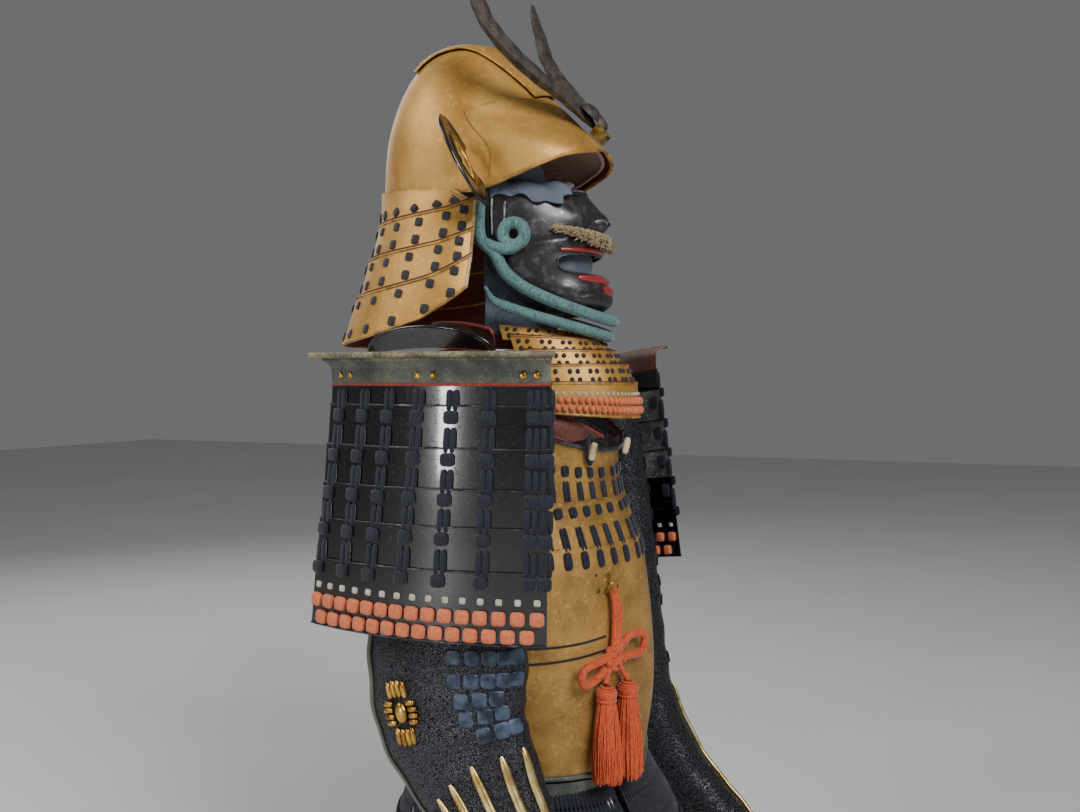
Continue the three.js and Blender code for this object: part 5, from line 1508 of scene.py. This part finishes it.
for number in range(1, 8):
    start, end = tasset_span(number)
    lames, cords = [], []
    for k in range(TASSET_LAMES):
        top, foot = (mix(TASSET_TOP, TASSET_FOOT, (k + n) / TASSET_LAMES) for n in (0, 1))

        def face(u, v, top=top, foot=foot):
            return skirt_point(mix(start, end, np.asarray(u, float)), mix(foot, top - 3, v), 1.6 * v)

        u, v = np.meshgrid(np.linspace(0, 1, 31), np.linspace(0, 1, 5))
        outer = face(u, v)
        inner = outer - 1.4 * normals(face, u, v)
        sheet, _, _ = grid_faces(30, 4, 31, False)
        n = outer.size // 3
        ends = [(i, i + 1, n + i + 1, n + i)[::-1] for i in range(30)]
        ends += [(n - 31 + i, n - 31 + i + 1, 2 * n - 31 + i + 1, 2 * n - 31 + i) for i in range(30)]
        ends += [(j * 31, (j + 1) * 31, n + (j + 1) * 31, n + j * 31)[::-1] for j in range(4)][::-1]
        ends += [(j * 31 + 30, (j + 1) * 31 + 30, n + (j + 1) * 31 + 30, n + j * 31 + 30)[::-1]
                 for j in range(4)]
        lames.append((np.vstack([outer.reshape(-1, 3), inner.reshape(-1, 3)]),
                      [tuple(map(int, f)) for f in sheet.tolist() + (sheet[:, ::-1] + n).tolist()] + ends))
        columns = (np.arange(26) + 0.5) / 26
        cords.append(bars_between(face, columns, 0.05, columns, 0.97, 5.3, 3.4, 1.2))
    panel_lames = gathered(f"tasset_lames_{number}", lames, [BLACK], smooth=40)
    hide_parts(f"tasset_{number}")

    def hanging(u, v):
        return skirt_point(mix(start, end, np.asarray(u, float)), mix(TASSET_TOP + 6, WAIST + 3, v), 0.0)

    columns = (np.arange(26) + 0.5) / 26
    for low, high in ((0, 0.34), (0.33, 0.67), (0.66, 1)):
        cords.append(bars_between(hanging, columns, low, columns, high, 5.2, 3.2, 0.0))
    tasset_cords = gathered(f"tasset_cords_{number}", cords, [NAVY])
belt_turn = np.linspace(-180, 180, 160, endpoint=False)
def hem_face(u, v):
    return torso_point(mix(-179.9, 179.9, np.asarray(u, float)), mix(514.0, 498.0, np.asarray(v, float)), 2.6)


hem = shell("waist_leather", hem_face, 160, 3, 1.2, [PRINTED, PRINTED])
tube("waist_band", torso_point(belt_turn, 493.0 + 0 * belt_turn, 0.6), 3.2, PRINTED, sides=10, closed=True)
print("tassets 7, cords on each", 26)

# %% [markdown]
# ## The shoulder guards
# Each guard is six wide lames of black lacquer under a leather-faced cap that turns out into a lip. Seven
# columns of navy braid carry the lames: on each lame a flat knot near the top, and a pair of cords from
# the middle down over the edge. The last lame has two rows of salmon knots, and its knots show inside.

# %% Shoulder guard lames
GUARD_LINES = (0, 0.1, 0.267, 0.427, 0.575, 0.745, 1)
LEFT_TIP = math.radians(8)


def guard_point(across, down, out=0.0):
    front, back = mix(-127, -124, down), mix(142, 168, down)
    x = 236 + 27 * (1 - (2 * np.asarray(across) - 1) ** 2) + 6 * down + out
    return xyz(x, mix(front, back, across), mix(-39.0, -309.0, down))


def hang(p, side):
    """The right guard mirrors the plain one. The left one has swung back a little on its cords."""
    if side != LEFT:
        return p * np.array([-1, 1, 1])
    c, s, y, z = math.cos(LEFT_TIP), math.sin(LEFT_TIP), p[..., 1] - 24, p[..., 2] + 174
    return xyz(p[..., 0], 38 + c * y + s * z, -174 - s * y + c * z)


def hung(surface, side):
    return lambda u, v: hang(surface(u if side == LEFT else 1 - np.asarray(u, float), v), side)


def hung_mesh(mesh, side):
    p, f = mesh
    return hang(p, side), f if side == LEFT else [q[::-1] for q in f]


def guard_face(number):
    def surface(u, v):
        low, high = GUARD_LINES[number], GUARD_LINES[number - 1] - (LAP / 270 if number > 1 else 0)
        return guard_point(u, mix(low, high, np.asarray(v, float)), STEP * np.asarray(v, float))
    return surface


GUARD_COLUMNS = table("across spread cords", (0.035, 0, 4), (0.225, 0.004, 2), (0.375, 0.01, 2), (0.52, 0.014, 2),
                      (0.66, 0.018, 2), (0.79, 0.02, 2), (0.925, 0.022, 2))


def guard_lacing(face, number, last):
    parts = []
    for across, spread, count in zip(*(GUARD_COLUMNS[c] for c in ("across", "spread", "cords"))):
        middle = across + spread * (number - 1) * 0.5
        places = middle + (np.arange(count) - (count - 1) / 2) * 0.0262
        if number > 1:
            knot_at = np.array([middle]) if count == 2 else places[[0, 2]] + 0.0128
            level = 0.86 if last else 0.76
            parts.append(scattered(pad(), *frames_at(face, knot_at, level, 0.0), 15.5, 14.5, 10))
        if not last:
            high = 0.55 if number > 1 else 0.85
            parts.append(bars_between(face, places + 0.002, 0.02, places, high, 7.4, 5.4, 1.5))
        if number > 1 and not last:
            inner = frames_at(face, np.array([middle]), 0.5, 0.0)
            parts.append(scattered(pad(), inner[0] - inner[2] * IRON, -inner[1], -inner[2], 13, 18, 6))
    return parts


for name, side in SIDES.items():
    laces, salmon, pale = [], [], []
    for number in range(1, 7):
        plain = guard_face(number)
        face = hung(plain, side)
        lining_finish = BROCADE if number in (2, 3, 4) else BLACK
        lame = shell(f"guard_lame_{name}_{number}", face, 72, 10, IRON, [BLACK, lining_finish])
        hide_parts(f"guard_{name}_{number}")
        # The rolls along the lame edges are dark iron, greyer than the black lacquer; their colour is a painted
        # highlight line along each edge.
        rolled(f"guard_highlight_roll_{name}_{number}", face(edge_u, 0 * edge_u), 1.5, DARK_IRON, 6)
        if number > 1:
            rolled(f"guard_highlight_seam_{name}_{number}", face(edge_u, 1 + 0 * edge_u), 1.1, DARK_IRON, 6)
        laces += guard_lacing(plain, number, number == 6)
    last = guard_face(6)
    for k, (count, v) in enumerate(((15, 0.375), (14, 0.125))):
        columns = (np.arange(count) + 0.5 + 0.5 * k) / 15
        origins, ups, outs = frames_at(last, columns, v, 0.0)
        salmon.append(scattered(pad(), origins, ups, outs, 15.6, 15.2, 13))
        salmon.append(scattered(pad(), origins - IRON * outs, -ups, -outs, 12.5, 13.5, 10))
    for columns, v in (((np.arange(15) + 0.5) / 15, 0.6),):
        origins, ups, outs = frames_at(last, columns, v, 0.0)
        pale.append(scattered(pad(), origins, ups, outs, 7.2, 7.2, 6))
        pale.append(scattered(pad(), origins - IRON * outs, -ups, -outs, 6, 6, 5))
    for collected, label, finish, slot in ((laces, "lacing", NAVY, "navy_lacing"),
                                           (salmon, "knots", SALMON, "silk_beads"),
                                           (pale, "small_knots", PALE_SILK, "silk_beads")):
        made = gathered(f"guard_{label}_{name}", [hung_mesh(m, side) for m in collected], [finish])
print("guard columns", len(GUARD_COLUMNS["across"]))

# %% Guard caps
CAP = table("share out rise", (0, 0, 1), (0.3, 1, 12), (0.55, 3, 22), (0.8, 12, 30), (1, 24, 33))


def cap_face(u, v):
    out, rise = along(CAP, "share", "out", v), along(CAP, "share", "rise", v)
    p = guard_point(u, 0, STEP + out)
    return xyz(p[..., 0], p[..., 1] + out / 24 * 15 * (2 * np.asarray(u) - 1), p[..., 2] + rise)


for name, side in SIDES.items():
    face = hung(cap_face, side)
    cap = shell(f"cap_leather_{name}", face, 90, 20, LEATHER, [PRINTED, PEBBLED], smooth=60)
    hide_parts(f"guard_cap_{name}")
    lip = face(edge_u, 1 + 0 * edge_u)
    tube(f"cap_lip_{name}", lip, 3.2, LIP, sides=12,
         relief=lambda run, a: 1 + 0.1 * np.sin(run * 0.9) * np.cos(3 * a))
    tube(f"cap_welt_{name}", face(edge_u, 0.74 + 0 * edge_u), 1.5, LIP, sides=8)
    tube(f"cap_piping_{name}", face(edge_u, 0.012 + 0 * edge_u), 1.7, PIPING, sides=8)
    places = np.array([0.06, 0.12, 0.47, 0.54, 0.9, 0.95])
    rivets = scattered(dome(14, 4), *frames_at(face, places, 0.28, 0.2), 9, 9, 5)
    gathered(f"cap_rivets_{name}", [rivets], [GILT])
print("guard caps: 2, rivets", 12)

# %% [markdown]
# ## The mail sleeves
# A cloth sleeve follows each arm. Its outer side is covered with fine black mail, with small lacquered
# plates let into it, a boss of gilt ribs at the elbow, and long gilt splints down the forearm to the hand
# guard. The sleeve is one sheet of cloth that is laced under the arm along a bound edge.

# %% Sleeves
def black_mail():
    f = Finish("black_mail", metallic=0.75)
    links = f.cells(430, None, {"feature": "F1"})
    rims = links.step(0.2, 0.5) * (1 - links.step(0.55, 0.8))
    f.set("Base Color", f.blend(rgb(12, 12, 14), rgb(84, 84, 90), rims))
    f.set("Roughness", 0.5 - rims * 0.15)
    f.relief(rims, 1.2, 1.0)
    return f.material


MAIL = black_mail()
BLUE_IRON = metal("blue_iron", rgb(72, 86, 108), rgb(34, 42, 56), 0.34, 0.3, 60)
PALE_GILT = metal("pale_gilt", rgb(236, 216, 150), rgb(186, 150, 84), 0.24, 0.85, 50)
SLEEVE = {
    "right": table("at out y z lean wide deep",
                   (0, 198, 4, -44, 0, 40, 66), (1, 201, 4, -150, 0, 41, 80), (2, 203, 10, -260, 0, 42, 92),
                   (3, 204, 13, -350, 2, 42, 97), (4, 205, 6, -415, 14, 42, 90), (5, 206, -26, -470, 28, 42, 76),
                   (6, 206, -75, -547, 32, 40, 58), (7, 203, -125, -625, 33, 36, 42), (8, 200, -148, -661, 33, 32, 35),
                   (9, 197, -190, -725, 33, 35, 34)),
    "left": table("at out y z lean wide deep",
                  (0, 198, 0, -44, 0, 40, 66), (1, 201, -6, -150, 2, 41, 78), (2, 203, -12, -260, 5, 42, 86),
                  (3, 204, -20, -350, 8, 42, 88), (4, 205, -36, -440, 20, 42, 84), (5, 206, -72, -520, 38, 42, 70),
                  (6, 206, -130, -596, 52, 40, 56), (7, 203, -196, -646, 58, 36, 42), (8, 200, -232, -668, 60, 32, 35),
                  (9, 196, -298, -704, 62, 35, 34)),
}
OVER_THE_HAND = (1 / 16, 7 / 16)


def sleeve_face(name):
    rows = SLEEVE[name]

    def surface(u, v):
        at = 9 * (1 - np.asarray(v, float))
        out, y, z, lean, wide, deep = (along(rows, "at", c, at) for c in "out y z lean wide deep".split())
        a, lean = 2 * math.pi * np.asarray(u, float), np.radians(lean)
        swell = 1 + 0.012 * np.sin(at * 9 + 2 * np.sin(a)) * np.clip(at - 1, 0, 1)
        reach = deep * np.cos(a) * swell
        return xyz(out + wide * np.sin(a) * swell, y - reach * np.cos(lean), z + reach * np.sin(lean))

    return surface


def sleeve_kept(u, v):
    return (v > 1 / 9) | ((u > OVER_THE_HAND[0]) & (u < OVER_THE_HAND[1]))


def flipped(mesh, side):
    p, f = mesh
    return mesh if side == LEFT else (p * np.array([-1, 1, 1]), [q[::-1] for q in f])


for name, side in SIDES.items():
    plain = sleeve_face(name)
    face = mirrored(plain, side)
    kept = sleeve_kept if side == LEFT else (lambda u, v: sleeve_kept(1 - u, v))
    sleeve = shell(f"sleeve_cloth_{name}", face, 96, 135, CLOTH, [MAIL, SLATE], wrap=True, keep=kept,
                   smooth=70)
    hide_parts(f"sleeve_{name}")
    width, length, area = cut_of(plain)
    plates, splints = [], []
    for v in np.arange(0.655, 0.97, 0.038):
        columns = np.array([0.05, 0.092, 0.13, 0.167, 0.203])
        plates.append(scattered(pad(), *frames_at(plain, columns, v, 0.0), 17, 17, 2.8))
    for v, columns in ((0.616, (0.188, 0.15, 0.11)), (0.575, (0.178, 0.135, 0.09)),
                       (0.53, (0.147, 0.1, 0.056))):
        plates.append(scattered(pad(), *frames_at(plain, np.array(columns), v, 0.0), 17, 17, 2.8))
    made = gathered(f"sleeve_plates_{name}", [flipped(m, side) for m in plates], [BLUE_IRON], smooth=50)
    for column, top in ((0.052, 0.465), (0.125, 0.468), (0.2, 0.473),
                        (0.265, 0.458), (0.318, 0.445), (0.375, 0.43)):
        column, run = np.full(30, column), np.linspace(0.14, top, 30)
        off = normals(plain, column, run)
        radius = 5.0 * np.sqrt(1 - np.linspace(-0.98, 0.98, 30) ** 8)
        splints.append(tube_mesh(plain(column, run) + 1.8 * off, radius, sides=10, flat=0.62, upright=off))
    made = gathered(f"sleeve_splints_{name}", [flipped(m, side) for m in splints], [PALE_GILT], smooth=60)

    def hand(u, v, plain=plain):
        return plain(mix(0.075, 0.425, np.asarray(u, float)), mix(0.004, 0.108, np.asarray(v, float)))

    raised = lifted(hand, 2.6)
    shell(f"hand_plate_{name}", mirrored(raised, side), 40, 20, 1.4, [BLACK, BLACK])
    tube(f"hand_rim_{name}", mirrored(raised, side)(edge_u, 0 * edge_u), 1.8, PALE_GILT, sides=8)
    centre, up, out = (a[0] for a in frames_at(plain, 0.315, 0.598, 2.0))
    across = np.cross(up, out)
    ribs = []
    groups = ((up, across, 27, 19), (-up, across, 27, 19),
              (across, up, 17.5, 12), (-across, up, 17.5, 12))
    for way, beside, reach, long in groups:
        for rib in (-10.5, -3.5, 3.5, 10.5):
            place = centre + (reach - 0.014 * rib * rib) * way + rib * beside
            ribs.append(scattered(bar(10), place[None], way[None], out[None], 6.6, long, 6.6))
    ribs.append(scattered(dome(20, 5), centre[None], up[None], out[None], 16, 24, 9))
    made = gathered(f"elbow_boss_{name}", [flipped(m, side) for m in ribs], [GILT], smooth=60)
    at = np.linspace(0.12, 0.985, 120)
    for k, (place, radius, flat) in enumerate(((0.44, 6.5, 0.4), (0.475, 2.2, 1))):
        off = normals(plain, np.full(120, place), at)
        line = plain(np.full(120, place), at) + 1.2 * off
        p, f = flipped(tube_mesh(line, radius, sides=12, flat=flat, upright=off), side)
        piece(f"sleeve_binding_{name}_{k}", p, f, [TRIM if k == 0 else LIP], smooth=60)
    cuff = plain(np.linspace(0, 1, 80, endpoint=False), np.full(80, 1 / 9))
    p, f = flipped(tube_mesh(cuff, 2.2, sides=8, closed=True), side)
    piece(f"cuff_roll_{name}", p, f, [TRIM], smooth=60)
    print(name, "sleeve cut", round(width, 2), "x", round(length, 2), "m")

# %% [markdown]
# ## Floor, light and hand-over
# A pale floor and wide soft lights: a large key above and in front of the armour, a small panel that
# draws one short bright highlight on the lacquer, and a dim fill from behind.

# %% Floor and lights
floor_z = float(cad_box[0][2]) - 0.001
floor_mesh = bpy.data.meshes.new("floor")
corners = [(x, y, floor_z) for x, y in ((-9, -9), (9, -9), (9, 9), (-9, 9))]
floor_mesh.from_pydata(corners, [], [(0, 1, 2, 3)])
floor = bpy.data.objects.new("floor", floor_mesh)
bpy.context.collection.objects.link(floor)
paper = Finish("pale_floor", roughness=0.9)
paper.set("Base Color", paper.blend(rgb(222, 222, 220), rgb(212, 212, 210), paper.noise(3, 2)))
floor_mesh.materials.append(paper.material)
floor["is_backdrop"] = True


def panel(name, place, target, size, power):
    lamp = bpy.data.objects.new(name, bpy.data.lights.new(name, "AREA"))
    lamp.location = place
    aim = np.array(target, float) - np.array(place, float)
    tip, turn = math.atan2(math.hypot(aim[0], aim[1]), -aim[2]), math.atan2(aim[1], aim[0])
    lamp.rotation_euler = (tip, 0, turn - math.pi / 2)
    lamp.data.shape = "RECTANGLE"
    lamp.data.size, lamp.data.size_y = size
    lamp.data.energy = power
    bpy.context.collection.objects.link(lamp)


panel("key", (-1.9, -2.4, 1.9), (0, 0, 0.0), (1.5, 1.5), 118)
panel("side_panel", (-2.9, 0.9, -0.34), (-0.2, 0, -0.2), (0.34, 0.42), 16)
panel("side_soft", (-1.6, 1.9, 1.6), (0, 0, 0), (1.2, 1.2), 34)
panel("back_fill", (1.6, 2.2, 1.6), (0, 0, 0), (2.0, 2.0), 30)
world = bpy.data.worlds.new("studio")
world.use_nodes = True
world.node_tree.nodes["Background"].inputs["Color"].default_value = (0.85, 0.87, 0.9, 1)
world.node_tree.nodes["Background"].inputs["Strength"].default_value = 0.18
bpy.context.scene.world = world
print("floor at", round(floor_z, 3))

# %% Sizes and finish
visual_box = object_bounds()
sizes = {"cad": [list(map(float, corner)) for corner in cad_box],
         "visual": [list(map(float, corner)) for corner in visual_box]}
print("solids", sizes["cad"], "visual", sizes["visual"])
